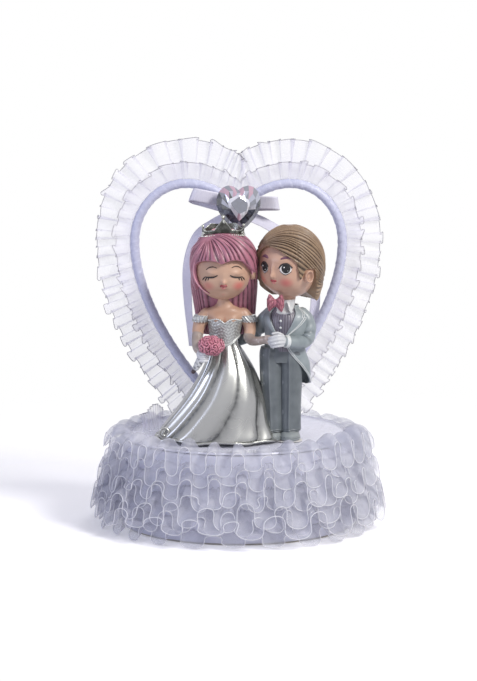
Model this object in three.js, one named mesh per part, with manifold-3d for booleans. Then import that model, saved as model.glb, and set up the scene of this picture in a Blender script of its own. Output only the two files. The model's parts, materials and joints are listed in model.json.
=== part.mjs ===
// A wedding cake topper. A cast resin bride and groom stand on a round drum trimmed with four
// gathered organza ruffles. Behind them a heart shaped arch of wrapped tube carries two pleated
// organza ruffles, a satin bow with two hanging tails, and a faceted heart gem.
// Sizes are millimetres. +Z is up, the couple look towards -Y, and the origin is on the table
// under the drum's axis.
import * as THREE from "three";
import { mergeVertices } from "three/addons/utils/BufferGeometryUtils.js";
import Module from "manifold-3d";

const wasm = await Module();
wasm.setup();

// Clearances
const seatGap = 0.3; // between a piece and the neighbour that it is glued to
const cutGap = 0.4; // swelling of a neighbour that a piece is cut by; its flat facets leave seatGap
const legClearance = 0.4; // round an arch leg in its holes

// Drum
const drumRadius = 56;
const drumHeight = 43; // table to the drum's own top
const cardThickness = 1.2; // glued under the drum
const coverThickness = 1; // satin covered disc on top
const wrapThickness = 0.6; // satin band round the side
const wrapFoot = 1; // table to the band's lower edge
const drumSides = 48;

// Ruffles round the drum, top one first
const tierCount = 4;
const tierPitch = 10.4; // heading to heading, down the side
const topHemReach = 9; // of the top tier's hem, past the drum
const bottomHemReach = 16.5;
const tierWaves = 24;
const tierWaveHeight = 4.2; // half of a wave, at the hem
const tierDroop = 6.5; // how far the hem hangs below its heading
const tierTurn = 0.8; // of the wave, from one tier to the next, in radians
const tierSeam = 0.31; // where each tier's band starts, in steps of its wave
const topHeadingInset = 5; // from the drum's edge to the top ruffle's heading
const topRise = 0.3; // share of its wave that the top ruffle has at the rim
const topDroop = 3.2; // disc down to the top ruffle's hem
const rimClearance = 2.1; // side wrap to where the top ruffle bends down
const tierThickness = 0.8;
const stepsPerWave = 3;

// Heart arch
const archY = 12;
const archTubeRadius = 2.2;
const archHalfWidth = 50.5; // axis to the tube's centre, at the widest
const archLobeRadius = 25.2;
const archWidestRise = 91.7; // disc to the widest place
const archLobeTopRise = 120.3;
const archCleftRise = 108.9;
const archTipRise = 5.7; // disc to where the two legs turn down
const archLegDepth = 14; // of the legs' holes, below the drum's top
const legWall = 1; // between the two legs' holes
const archTubeSteps = 26; // in each half
const archTubeSides = 8;

// Ruffles on the arch
const innerRuffleWidth = 9.4; // tube's centre to the hem
const outerRuffleWidth = 19;
const lobeFlare = 0.14; // share that a ruffle widens by over the lobes
const headingOffset = 0.7; // of each ruffle's glued edge from the arch's plane
const innerRuffleLean = -2.2; // of its hem from the arch's plane, towards the front
const outerRuffleLean = 1;
const innerPleats = 20; // in each half
const outerPleats = 25;
const pleatDepth = 1.3; // half of a pleat, at the hem
const pleatStagger = 0.7; // how far alternate pleats stand out at the hem
const archRuffleThickness = 0.6;
const archRuffleEnd = 0.9; // share of the half that the ruffle covers, from the cleft

// Loose end of the left ruffle
const looseStart = [36.5, 6]; // from the axis to its inner end, to the left and to the back
const looseLength = 9; // to the left
const looseSlant = 0.6; // towards the front, for each mm to the left
const looseHeight = 13.5;
const looseFolds = 3;
const looseFoldDepth = 1.3; // half

// Bow, tails and gem
const ribbonWidth = 6.2;
const ribbonThickness = 0.6;
const bowLoopLeft = 23; // knot's centre to the loop's end
const bowLoopRight = 19.5;
const bowRise = 2.8; // of the knot above the cleft
const bowLoopDepth = 2.6; // half of the loop's opening, front to back
const knotSize = 6.4;
const knotDepth = 4.4;
const gemWidth = 21.6;
const gemHeight = 23;
const gemDepth = 8.4;
const gemBackThickness = 0.8;
const gemDrop = 1.2; // of the gem's centre below the cleft

// Both figures
const padThickness = 0.6; // glue pad under each figure

// Bride
const brideX = -7;
const brideY = -21;
const skirtHeight = 46;
const skirtFolds = 9;
const skirtTrain = 28; // half of the hem's width
const skirtDepth = 20.4; // half of the hem, front to back
const bandHeight = 1.6;
const bodiceHeight = 9.4;
const bustHeight = 5.2; // neckline to the top of the shoulders
const brideNeckLength = 5.2;
const brideNeckRadius = 3.3;
const brideHeadWidth = 14.5; // half
const brideHeadHeight = 15.9; // half
const brideHairThickness = 2;
const hairFall = 27; // middle of the cap to the ends of the long hair
const tiaraWidth = 9.2; // half
const tiaraDepth = 6.2; // half
const tiaraBand = 2.6;
const tiaraWall = 1.2;
const tiaraPeak = 5.6; // front spike, above the band
const bouquetRadius = 6;

// Groom
const groomX = 22;
const groomY = -22;
const shoeHeight = 5;
const shoeLength = 15;
const shoeWidth = 10.4;
const trouserHeight = 40.4;
const torsoHeight = 18;
const groomNeckRadius = 3.8;
const groomHeadWidth = 14.8; // half
const groomHeadHeight = 16; // half
const groomHeadTurn = THREE.MathUtils.degToRad(-36); // towards the bride
const groomHairThickness = 1.8;
const groomNeckLength = 5;

const discZ = drumHeight + seatGap + coverThickness;
const archWidestZ = discZ + archWidestRise;
const archLobeTopZ = discZ + archLobeTopRise;
const archCleftZ = discZ + archCleftRise;
const archTipZ = discZ + archTipRise;
const floorZ = discZ + padThickness + 2 * seatGap;

// A colour, roughness and metalness as a material.
function finish(color, roughness, metalness = 0) {
  return new THREE.MeshStandardMaterial({ color, roughness, metalness });
}
const paint = {
  foam: finish(0xf0f0f4, 0.9),
  card: finish(0xd9d6cf, 0.9),
  satin: finish(0xe4e2f2, 0.35),
  organza: finish(0xe6e4f4, 0.6),
  tube: finish(0xb9bde0, 0.4),
  gem: finish(0xc9cbd8, 0.05),
  foil: finish(0xa9abb4, 0.2, 0.9),
  glue: finish(0xe8e6dc, 0.6),
  skin: finish(0xe0a98f, 0.5),
  pinkHair: finish(0xb5687c, 0.45),
  brownHair: finish(0x8a6b50, 0.5),
  gown: finish(0xb9bdb6, 0.25, 0.5),
  lace: finish(0xd5d9d4, 0.35, 0.4),
  silver: finish(0x8f908c, 0.3, 0.9),
  rose: finish(0xc9506e, 0.5),
  suit: finish(0x84898c, 0.45),
  vest: finish(0x6f6a78, 0.5),
  white: finish(0xd8d8dc, 0.4),
};

const vec = (x, y, z) => new THREE.Vector3(x, y, z);

// Turns a closed geometry's faces outwards.
function faceOut(geometry) {
  const p = geometry.attributes.position;
  const index = geometry.index.array;
  const [a, b, c] = [vec(), vec(), vec()];
  let volume = 0;
  for (let i = 0; i < index.length; i += 3) {
    a.fromBufferAttribute(p, index[i]);
    b.fromBufferAttribute(p, index[i + 1]);
    c.fromBufferAttribute(p, index[i + 2]);
    volume += a.dot(b.cross(c));
  }
  if (volume < 0)
    for (let i = 0; i < index.length; i += 3)
      [index[i + 1], index[i + 2]] = [index[i + 2], index[i + 1]];
  return geometry;
}

function meshOf(points, faces) {
  const geometry = new THREE.BufferGeometry();
  const numbers = points.flatMap((p) => p.toArray());
  geometry.setAttribute("position", new THREE.Float32BufferAttribute(numbers, 3));
  geometry.setIndex(faces);
  return faceOut(geometry);
}

// The side walls between rings of equal length; closed joins the last ring to the first. A sheet's
// rings go out along one of its sides and back along the other, and both are cut alike.
function walls(rings, closed, sheet) {
  const n = rings[0].length;
  const faces = [];
  const last = closed ? rings.length : rings.length - 1;
  for (let i = 0; i < last; i++)
    for (let k = 0; k < n; k++) {
      const next = ((i + 1) % rings.length) * n;
      const [a, b] = [i * n + k, i * n + ((k + 1) % n)];
      const [c, d] = [next + k, next + ((k + 1) % n)];
      const back = sheet && k >= n / 2;
      faces.push(...(back ? [a, b, c, b, d, c] : [a, b, d, a, d, c]));
    }
  return faces;
}

// A solid skinned over rings of points, closed by a fan at each end.
function skin(rings, sheet = false) {
  const n = rings[0].length;
  const points = rings.flat();
  const faces = walls(rings, false, sheet);
  for (const [ring, turned] of [[0, true], [rings.length - 1, false]]) {
    const centre = rings[ring].reduce((sum, p) => sum.add(p), vec(0, 0, 0)).divideScalar(n);
    const hub = points.push(centre) - 1;
    for (let k = 0; k < n; k++) {
      const [a, b] = [ring * n + k, ring * n + ((k + 1) % n)];
      faces.push(...(turned ? [hub, b, a] : [hub, a, b]));
    }
  }
  return meshOf(points, faces);
}

// A sheet skinned over rings that come back to the first.
const hoop = (rings) => meshOf(rings.flat(), walls(rings, true, true));

// Rings of an upright body: each section is [height, x, y, half width, half depth].
function lofted(sections, grow = 0, around = 12, shape = () => 1) {
  return skin(
    sections.map(([z, x, y, rx, ry], i) => {
      const end = i === 0 ? -grow : i === sections.length - 1 ? grow : 0;
      const rising = sections[sections.length - 1][0] > sections[0][0] ? end : -end;
      return Array.from({ length: around }, (_, k) => {
        const t = (k / around) * 2 * Math.PI;
        const r = shape(t, z);
        return vec(x + (rx * r + grow) * Math.cos(t), y + (ry * r + grow) * Math.sin(t), z + rising);
      });
    }),
  );
}

// A limb along a smooth path through points, with one radius for each point.
function limb(points, radii, grow = 0, sides = 8, steps = 7) {
  const path = new THREE.CatmullRomCurve3(points.map((p) => vec(...p)));
  const rings = [];
  for (let i = 0; i <= steps; i++) {
    const t = i / steps;
    const at = t * (radii.length - 1);
    const low = Math.min(Math.floor(at), radii.length - 2);
    const bare = THREE.MathUtils.lerp(radii[low], radii[low + 1], at - low);
    const radius = bare + grow;
    const tangent = path.getTangent(t);
    const side = vec(0, 1, 0).cross(tangent);
    if (side.length() < 0.2) side.copy(vec(1, 0, 0)).cross(tangent);
    side.normalize();
    const up = tangent.clone().cross(side);
    const ring = (centre, r) =>
      Array.from({ length: sides }, (_, k) => {
        const a = (k / sides) * 2 * Math.PI;
        return centre.clone().addScaledVector(side, r * Math.cos(a)).addScaledVector(up, r * Math.sin(a));
      });
    const centre = path.getPoint(t);
    const dome = bare * 0.55 + grow;
    if (i === 0) rings.push(ring(centre.clone().addScaledVector(tangent, -dome), radius * 0.6));
    rings.push(ring(centre, radius));
    if (i === steps) rings.push(ring(centre.clone().addScaledVector(tangent, dome), radius * 0.6));
  }
  return skin(rings);
}

function ellipsoid([x, y, z], [rx, ry, rz], grow = 0, around = 14, down = 9) {
  const geometry = new THREE.SphereGeometry(1, around, down);
  geometry.rotateX(Math.PI / 2);
  geometry.scale(rx + grow, ry + grow, rz + grow);
  geometry.translate(x, y, z);
  return geometry;
}

// A prism over an outline in the XZ plane, from y0 back to y1.
function prism(outline, y0, y1) {
  const shape = new THREE.Shape(outline.map(([x, z]) => new THREE.Vector2(x, z)));
  const geometry = new THREE.ExtrudeGeometry(shape, { depth: y1 - y0, bevelEnabled: false });
  geometry.rotateX(Math.PI / 2);
  geometry.translate(0, y1, 0);
  return geometry;
}

function solid(geometry) {
  const plain = geometry.index ? geometry.toNonIndexed() : geometry.clone();
  for (const name of Object.keys(plain.attributes)) if (name !== "position") plain.deleteAttribute(name);
  const merged = mergeVertices(plain, 1e-4);
  return new wasm.Manifold(
    new wasm.Mesh({
      numProp: 3,
      vertProperties: merged.attributes.position.array,
      triVerts: new Uint32Array(merged.index.array),
    }),
  );
}

// The largest body of a solid, as a geometry.
function geometryOf(whole) {
  const bodies = whole.decompose();
  const body = bodies.reduce((best, b) => (b.volume() > best.volume() ? b : best));
  const mesh = body.getMesh();
  const geometry = new THREE.BufferGeometry();
  geometry.setAttribute("position", new THREE.Float32BufferAttribute(mesh.vertProperties, 3));
  geometry.setIndex(Array.from(mesh.triVerts));
  return geometry;
}

const join = (...geometries) => geometryOf(geometries.map(solid).reduce((sum, s) => sum.add(s)));
const cut = (geometry, ...tools) =>
  geometryOf(tools.map(solid).reduce((left, s) => left.subtract(s), solid(geometry)));

// A thin patch that follows a shape's surface, from one growth to another, inside a prism.
function patch(shape, from, to, limits) {
  const shell = solid(shape(to)).subtract(solid(shape(from)));
  return geometryOf(shell.intersect(solid(limits)));
}

const part = new THREE.Group();
function add(name, geometry, material) {
  const mesh = new THREE.Mesh(geometry, material);
  mesh.name = name;
  part.add(mesh);
}

// The drum is a foam block with two blind holes for the arch's legs. A card is glued under it, and
// a satin disc and band cover it.
const archLegX = archTubeRadius + legClearance + legWall / 2;
function legHoles(z0, z1) {
  const radius = archTubeRadius + legClearance;
  return [-1, 1].map((side) => {
    const hole = new THREE.CylinderGeometry(radius, radius, z1 - z0, 12);
    hole.rotateX(Math.PI / 2);
    return hole.translate(side * archLegX, archY, (z0 + z1) / 2);
  });
}

function lathe(profile, sides = drumSides) {
  const geometry = new THREE.LatheGeometry(profile.map(([r, z]) => new THREE.Vector2(r, z)), sides);
  geometry.rotateX(Math.PI / 2);
  return geometry;
}
const disc = (radius, z0, z1) => lathe([[0, z0], [radius, z0], [radius, z1], [0, z1]]);

const legHoleFoot = drumHeight - archLegDepth;
const drum = disc(drumRadius, cardThickness + seatGap, drumHeight);
add("base_drum", cut(drum, ...legHoles(legHoleFoot, drumHeight + 1)), paint.foam);
add("base_bottom_card", disc(drumRadius, 0, cardThickness), paint.card);
const cover = disc(drumRadius, drumHeight + seatGap, discZ);
add("base_top_cover", cut(cover, ...legHoles(drumHeight, discZ + 1)), paint.satin);
const wrapInner = drumRadius + seatGap;
const wrapOuter = wrapInner + wrapThickness;
add(
  "base_side_wrap",
  lathe([
    [wrapInner, wrapFoot],
    [wrapOuter, wrapFoot],
    [wrapOuter, drumHeight],
    [wrapInner, drumHeight],
    [wrapInner, wrapFoot],
  ]),
  paint.satin,
);

// Ruffles round the drum. Each is a band from its glued heading out to a waving hem. The top one
// is glued on the disc and hangs over its rim; the others are glued to the side, one below another.
function tier(i) {
  const share = i / (tierCount - 1);
  const hem = drumRadius + THREE.MathUtils.lerp(topHemReach, bottomHemReach, share);
  const lowestHem = seatGap + tierThickness / 2 + tierWaveHeight;
  const [onDisc, crest] = [discZ + seatGap + tierThickness / 2, tierWaveHeight * topRise];
  const side = drumHeight - tierPitch * i;
  // Each row is [radius, height, share of the wave].
  const overRim = [
    [drumRadius - topHeadingInset, onDisc, 0],
    [wrapOuter + rimClearance, onDisc + crest, topRise],
    [hem, discZ - topDroop, 1],
  ];
  const onSide = [
    [wrapOuter + cutGap, side, 0],
    [hem, Math.max(side - tierDroop, lowestHem), 1],
  ];
  const rows = i === 0 ? overRim : onSide;
  const steps = tierWaves * stepsPerWave;
  return hoop(
    Array.from({ length: steps }, (_, s) => {
      const t = ((s + tierSeam) / steps) * 2 * Math.PI;
      const wave = tierWaveHeight * Math.sin(tierWaves * t + tierTurn * i);
      const at = ([r, z, k], half) => vec(r * Math.cos(t), r * Math.sin(t), z + k * wave + half);
      const low = rows.map((row) => at(row, -tierThickness / 2));
      const high = rows.map((row) => at(row, tierThickness / 2)).reverse();
      return [...low, ...high];
    }),
  );
}
for (let i = 0; i < tierCount; i++) add(`base_ruffle_${i + 1}`, tier(i), paint.organza);

// Right half of the heart, from the cleft to the foot of its leg, in the plane y = 0.
const heartHalf = new THREE.CurvePath();
const curve = (...points) => new THREE.CubicBezierCurve3(...points.map(([x, z]) => vec(x, 0, z)));
const lobeX = archHalfWidth - archLobeRadius;
const lobeHandle = 0.5523;
heartHalf.add(
  curve(
    [0, archCleftZ],
    [lobeX * 0.24, archCleftZ + (archLobeTopZ - archCleftZ) * 0.46],
    [lobeX * 0.58, archLobeTopZ],
    [lobeX, archLobeTopZ],
  ),
);
heartHalf.add(
  curve(
    [lobeX, archLobeTopZ],
    [lobeX + archLobeRadius * lobeHandle, archLobeTopZ],
    [archHalfWidth, THREE.MathUtils.lerp(archWidestZ, archLobeTopZ, lobeHandle)],
    [archHalfWidth, archWidestZ],
  ),
);
heartHalf.add(
  curve(
    [archHalfWidth, archWidestZ],
    [archHalfWidth, THREE.MathUtils.lerp(archWidestZ, archTipZ, 0.35)],
    [archHalfWidth * 0.5, THREE.MathUtils.lerp(archWidestZ, archTipZ, 0.78)],
    [archLegX, archTipZ],
  ),
);

// The tube: one bent length, both of its ends turned down into the drum.
function archTube() {
  const half = heartHalf.getSpacedPoints(archTubeSteps);
  const foot = vec(archLegX, 0, legHoleFoot + seatGap);
  const right = [...half, vec(archLegX, 0, archTipZ - 2.5), foot];
  const left = right.slice(1).reverse().map((p) => vec(-p.x, 0, p.z));
  const path = [...left, ...right];
  return skin(
    path.map((p, i) => {
      const [before, after] = [path[Math.max(i - 1, 0)], path[Math.min(i + 1, path.length - 1)]];
      const tangent = after.clone().sub(before).normalize();
      const out = vec(tangent.z, 0, -tangent.x);
      return Array.from({ length: archTubeSides }, (_, k) => {
        const a = ((k + 0.5) / archTubeSides) * 2 * Math.PI;
        return vec(0, archY, 0)
          .add(p)
          .addScaledVector(out, archTubeRadius * Math.cos(a))
          .add(vec(0, archTubeRadius * Math.sin(a), 0));
      });
    }),
  );
}
add("arch_tube", archTube(), paint.tube);

// A pleated strip standing out from the tube, trimmed where the two halves meet over the cleft.
function archRuffle(side, width, lean, pleats) {
  const steps = pleats * 3;
  const inner = archTubeRadius + seatGap;
  const heading = Math.sign(lean) * headingOffset;
  const sections = Array.from({ length: steps + 1 }, (_, s) => {
    const u = (s / steps) * archRuffleEnd;
    const p = heartHalf.getPointAt(u);
    const tangent = heartHalf.getTangentAt(u);
    const out = vec(-tangent.z, 0, tangent.x);
    const fold = [-1, 1, 0.6][s % 3];
    const corner = (w, y, half) => vec(side * (p.x + out.x * w), archY + y + half, p.z + out.z * w);
    const flare = 1 + lobeFlare * Math.max(0, out.z);
    const [hem, t] = [width * flare + pleatStagger * fold, archRuffleThickness / 2];
    const [root, edge] = [heading + 0.1 * pleatDepth * fold, lean + pleatDepth * fold];
    return [corner(inner, root, -t), corner(hem, edge, -t), corner(hem, edge, t), corner(inner, root, t)];
  });
  const reach = 4 * outerRuffleWidth;
  const otherSide = new THREE.BoxGeometry(reach, reach, 3 * reach);
  otherSide.translate(-side * (reach / 2 - seatGap / 2), archY, archCleftZ);
  return cut(skin(sections, true), otherSide);
}
const innerStrip = [innerRuffleWidth, innerRuffleLean, innerPleats];
const outerStrip = [outerRuffleWidth, outerRuffleLean, outerPleats];
for (const [name, side] of [["left", -1], ["right", 1]]) {
  add(`arch_inner_ruffle_${name}`, archRuffle(side, ...innerStrip), paint.organza);
  add(`arch_outer_ruffle_${name}`, archRuffle(side, ...outerStrip), paint.organza);
}

// The left ruffle's loose end, folded down so that it stands on the disc beside the train.
function looseEnd() {
  const steps = looseFolds * 4;
  const foot = discZ + seatGap;
  return skin(
    Array.from({ length: steps + 1 }, (_, s) => {
      const u = s / steps;
      const fold = looseFoldDepth * Math.sin(2 * Math.PI * looseFolds * u);
      const x = -looseStart[0] - looseLength * u;
      const y = looseStart[1] - looseLength * looseSlant * u + fold;
      const top = foot + looseHeight * (0.72 + 0.28 * Math.sin(Math.PI * Math.min(1, 1.4 * u)));
      const t = archRuffleThickness / 2;
      return [vec(x, y - t, foot), vec(x, y + t, foot), vec(x, y + t, top), vec(x, y - t, top)];
    }),
    true,
  );
}
add("arch_ruffle_loose_end", looseEnd(), paint.organza);

// Satin bow over the cleft: a knot in front of the tube and a loop on each side of it.
const bowZ = archCleftZ + bowRise;
const knotBack = archY - archTubeRadius - seatGap;
const knotFront = knotBack - knotDepth;
const knotMiddle = (knotBack + knotFront) / 2;
const knot = new THREE.BoxGeometry(knotSize, knotDepth, ribbonWidth + 1, 2, 1, 2);
add("bow_knot", knot.translate(0, knotMiddle, bowZ), paint.satin);

// A loop of ribbon seen from above: an outline with a smaller one inside it, as tall as the ribbon.
function bowLoop(side, length, tilt) {
  const root = knotSize / 2 + 2 * seatGap;
  const outline = (inset) => {
    const [x0, x1, d] = [inset, length - root - inset, bowLoopDepth - inset];
    const points = new THREE.Shape();
    points.moveTo(x0, -1 + inset * 0.4);
    points.bezierCurveTo(x1 * 0.4, -d * 1.1, x1, -d * 1.3, x1, 0);
    points.bezierCurveTo(x1, d * 1.3, x1 * 0.4, d * 1.1, x0, 1 - inset * 0.4);
    points.closePath();
    return points;
  };
  const shape = outline(0);
  shape.holes.push(outline(ribbonThickness));
  const options = { depth: ribbonWidth, bevelEnabled: false, curveSegments: 7 };
  const geometry = new THREE.ExtrudeGeometry(shape, options);
  geometry.translate(0, 0, -ribbonWidth / 2);
  geometry.rotateY(-tilt);
  if (side < 0) geometry.rotateZ(Math.PI);
  return geometry.translate(side * root, knotMiddle, bowZ);
}
add("bow_loop_left", bowLoop(-1, bowLoopLeft, THREE.MathUtils.degToRad(4)), paint.satin);
add("bow_loop_right", bowLoop(1, bowLoopRight, THREE.MathUtils.degToRad(-2)), paint.satin);

// A tail hangs from under the knot, inside the heart, in a smooth fall. Points are [x, y, z].
function tail(points, turn) {
  const path = new THREE.CatmullRomCurve3(points.map((p) => vec(...p)));
  const steps = 14;
  return skin(
    Array.from({ length: steps + 1 }, (_, i) => {
      const u = i / steps;
      const tangent = path.getTangentAt(u);
      const a = THREE.MathUtils.lerp(turn[0], turn[1], u);
      const flat = vec(Math.cos(a), Math.sin(a), 0);
      const across = flat.clone().addScaledVector(tangent, -tangent.dot(flat)).normalize();
      const face = tangent.clone().cross(across);
      across.multiplyScalar(ribbonWidth / 2.3);
      face.multiplyScalar(ribbonThickness / 2);
      const c = path.getPointAt(u);
      return [[-1, -1], [1, -1], [1, 1], [-1, 1]].map(([w, t]) =>
        c.clone().addScaledVector(across, w).addScaledVector(face, t),
      );
    }),
  );
}
const tailTop = bowZ - ribbonWidth / 2 - 3;
const tailRootY = knotMiddle + 1;
const behindTube = archY + archTubeRadius + 1.4;
const leftTailPath = [
  [-2.6, tailRootY, tailTop - 1.4],
  [-12, archY - 2, tailTop - 2.5],
  [-22.5, archY, tailTop - 10],
  [-26.3, archY + 1, tailTop - 26],
  [-25.6, archY + 2.5, tailTop - 46],
  [-23.2, behindTube, tailTop - 66],
];
const rightTailPath = [
  [2.6, tailRootY, tailTop - 1.4],
  [14, archY - 2, tailTop - 6.5],
  [27, archY, tailTop - 15],
  [35.5, archY + 1, tailTop - 28],
  [37.6, behindTube, tailTop - 42],
  [36, behindTube, tailTop - 56],
];
add("ribbon_tail_left", tail(leftTailPath, [1.2, 0.5]), paint.satin);
add("ribbon_tail_right", tail(rightTailPath, [-1.2, -0.3]), paint.satin);

// Faceted heart gem, its foil back glued to the knot.
function heartOutline(width, height) {
  const [w, h] = [width / 2, height / 2];
  const half = [
    [0, 0.62], [0.3, 0.94], [0.66, 0.96], [0.94, 0.62], [0.98, 0.2], [0.72, -0.32], [0.34, -0.72], [0, -1],
  ];
  const right = half.map(([x, z]) => [x * w, z * h]);
  const left = half.slice(1, -1).reverse().map(([x, z]) => [-x * w, z * h]);
  return [...right, ...left];
}
const gemZ = archCleftZ - gemDrop;
const gemBack = knotFront - seatGap - gemBackThickness - seatGap;
function gem() {
  const outline = heartOutline(gemWidth, gemHeight);
  const levels = [[0.5, 1], [0.8, 0.78], [1, 0.42], [0.97, 0.34], [0.62, 0]];
  const ring = ([scale, depth]) => {
    const y = gemBack - gemDepth * depth;
    return outline.map(([x, z]) => vec(x * scale, y, gemZ + z * scale));
  };
  return skin(levels.map(ring));
}
add("heart_gem", gem(), paint.gem);
const gemFoil = prism(
  heartOutline(gemWidth * 0.62, gemHeight * 0.62).map(([x, z]) => [x, gemZ + z]),
  gemBack + seatGap,
  gemBack + seatGap + gemBackThickness,
);
add("gem_foil_back", gemFoil, paint.foil);

// Glue pads between the disc and each figure.
const padZ = discZ + seatGap;
function pad(x, y, rx, ry) {
  return lofted([[padZ, x, y, rx, ry], [padZ + padThickness, x, y, rx, ry]], 0, 20);
}
const bridePad = [0.6 * skirtTrain, 0.6 * skirtDepth];
add("glue_pad_bride", pad(brideX, brideY, ...bridePad), paint.glue);

// A doll's head: an egg with full cheeks and a small nose. turn is about the upright axis.
function dollHead(head, grow = 0) {
  const geometry = new THREE.SphereGeometry(1, 14, 9);
  geometry.rotateX(Math.PI / 2);
  const p = geometry.attributes.position;
  for (let i = 0; i < p.count; i++) {
    const u = vec().fromBufferAttribute(p, i);
    const cheek = 1 + 0.05 * Math.exp(-(((u.z + 0.4) / 0.35) ** 2));
    p.setXYZ(
      i,
      u.x * cheek * head.width + u.x * grow,
      u.y * cheek * head.width + u.y * grow,
      u.z * head.height + u.z * grow,
    );
  }
  return geometry.rotateZ(head.turn).translate(head.x, head.y, head.z);
}
// A point on or near a head, given by its angle from the nose, its height and its distance out.
function onHead(head, angle, z, out) {
  const a = head.turn + THREE.MathUtils.degToRad(angle);
  return [head.x + out * Math.sin(a), head.y - out * Math.cos(a), head.z + z];
}
function headWithFeatures(head, ears, grow = 0) {
  const noseTip = onHead(head, 0, -0.38 * head.height, head.width * 0.98);
  const nose = ellipsoid(noseTip, [1.5, 1.9, 1.4], grow, 6, 4);
  const lobes = ears.map((angle) =>
    ellipsoid(onHead(head, angle, -0.36 * head.height, head.width * 0.96), [2.4, 2.4, 3.4], grow, 7, 5),
  );
  return join(dollHead(head, grow), nose, ...lobes);
}

const bandZ = floorZ + skirtHeight + seatGap;
const bodiceZ = bandZ + bandHeight + seatGap;
const necklineZ = bodiceZ + bodiceHeight + seatGap;
const shoulderZ = necklineZ + bustHeight;
const brideHead = {
  x: brideX - 0.4,
  y: brideY,
  z: shoulderZ + brideNeckLength + brideHeadHeight,
  width: brideHeadWidth,
  height: brideHeadHeight,
  turn: 0,
};
const trunkX = brideX + 0.5;

// The gown's off the shoulder band, round the top of each arm.
function sleeveBand(side, grow) {
  const [x, z] = [trunkX + side * 10.7, shoulderZ - 4.4];
  const sections = [
    [z - 1.8, x + side * 0.4, brideY, 3.5, 3.4],
    [z, x, brideY, 3.8, 3.7],
    [z + 1.6, x - side * 0.6, brideY, 3.2, 3.3],
  ];
  return lofted(sections, grow, 10);
}

const brideShapes = {
  head: (grow) => headWithFeatures(brideHead, [86], grow),
  bust: (grow) =>
    lofted(
      [
        [necklineZ, trunkX, brideY, 7.6, 5.6],
        [necklineZ + 2, trunkX, brideY, 10.4, 5.6],
        [necklineZ + 3.8, trunkX, brideY, 9.6, 4.8],
        [shoulderZ, trunkX, brideY, brideNeckRadius + 1.6, brideNeckRadius + 0.6],
        [shoulderZ + 1.6, trunkX, brideY, brideNeckRadius, brideNeckRadius],
        [brideHead.z - 0.7 * brideHeadHeight, brideHead.x, brideY, brideNeckRadius, brideNeckRadius],
      ],
      grow,
    ),
  bodice: (grow) =>
    lofted(
      [
        [bodiceZ, trunkX, brideY, 6.3, 5.4],
        [bodiceZ + 3.4, trunkX, brideY, 6.1, 5.4],
        [bodiceZ + 7, trunkX, brideY - 0.5, 7.2, 6.6],
        [bodiceZ + bodiceHeight, trunkX, brideY, 7.8, 6],
      ],
      grow,
    ),
  band: (grow) =>
    lofted(
      [
        [bandZ, trunkX, brideY, 7, 6],
        [bandZ + bandHeight, trunkX, brideY, 6.7, 5.8],
      ],
      grow,
    ),
  skirt: (grow) => {
    const train = skirtTrain - 0.5;
    return lofted(
      [
        [floorZ, brideX - 4.2, brideY, train + 0.5, skirtDepth],
        [floorZ + 2, brideX - 4.2, brideY, train, skirtDepth - 0.4],
        [floorZ + 0.2 * skirtHeight, brideX - 3.3, brideY, train - 4, skirtDepth - 2],
        [floorZ + 0.45 * skirtHeight, brideX - 0.3, brideY, 18.9, 16],
        [floorZ + 0.7 * skirtHeight, brideX + 1.5, brideY, 14.2, 12.4],
        [floorZ + 0.89 * skirtHeight, trunkX + 0.4, brideY, 9.2, 8],
        [floorZ + skirtHeight, trunkX, brideY, 6.5, 5.6],
      ],
      grow,
      36,
      (t, z) => {
        const fall = 1 - (z - floorZ) / skirtHeight;
        return 1 + (0.02 + 0.045 * fall) * Math.cos(skirtFolds * (t + 0.9 * fall));
      },
    );
  },
  rightArm: (grow) =>
    limb(
      [
        [trunkX - 10.2, brideY, shoulderZ - 3.4],
        [trunkX - 12.2, brideY - 0.5, bodiceZ + 6],
        [trunkX - 13.2, brideY - 1.5, bodiceZ + 2.6],
      ],
      [2.9, 2.8, 2.5],
      grow,
      8,
      4,
    ),
  rightGlove: (grow) =>
    limb(
      [
        [trunkX - 13.3, brideY - 3.2, bodiceZ + 0.6],
        [trunkX - 13, brideY - 6, bodiceZ - 3],
        [trunkX - 11.2, brideY - 9.4, bodiceZ - 5.2],
      ],
      [2.6, 2.4, 2.8],
      grow,
      8,
      5,
    ),
  rightSleeve: (grow) => sleeveBand(-1, grow),
  leftSleeve: (grow) => sleeveBand(1, grow),
  leftArm: (grow) =>
    limb(
      [
        [trunkX + 10.2, brideY, shoulderZ - 3.4],
        [trunkX + 11, brideY - 0.6, bodiceZ + 5],
        [trunkX + 11, brideY - 1.8, bodiceZ + 1],
      ],
      [2.9, 2.8, 2.5],
      grow,
      8,
      4,
    ),
  leftGlove: (grow) =>
    limb(
      [
        [trunkX + 12, brideY - 4, bodiceZ + 0.4],
        [trunkX + 15.5, brideY - 8, bodiceZ + 1.2],
        [trunkX + 19, brideY - 11.4, bodiceZ + 2.2],
      ],
      [2.5, 2.3, 2.4],
      grow,
      8,
      5,
    ),
};

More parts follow.
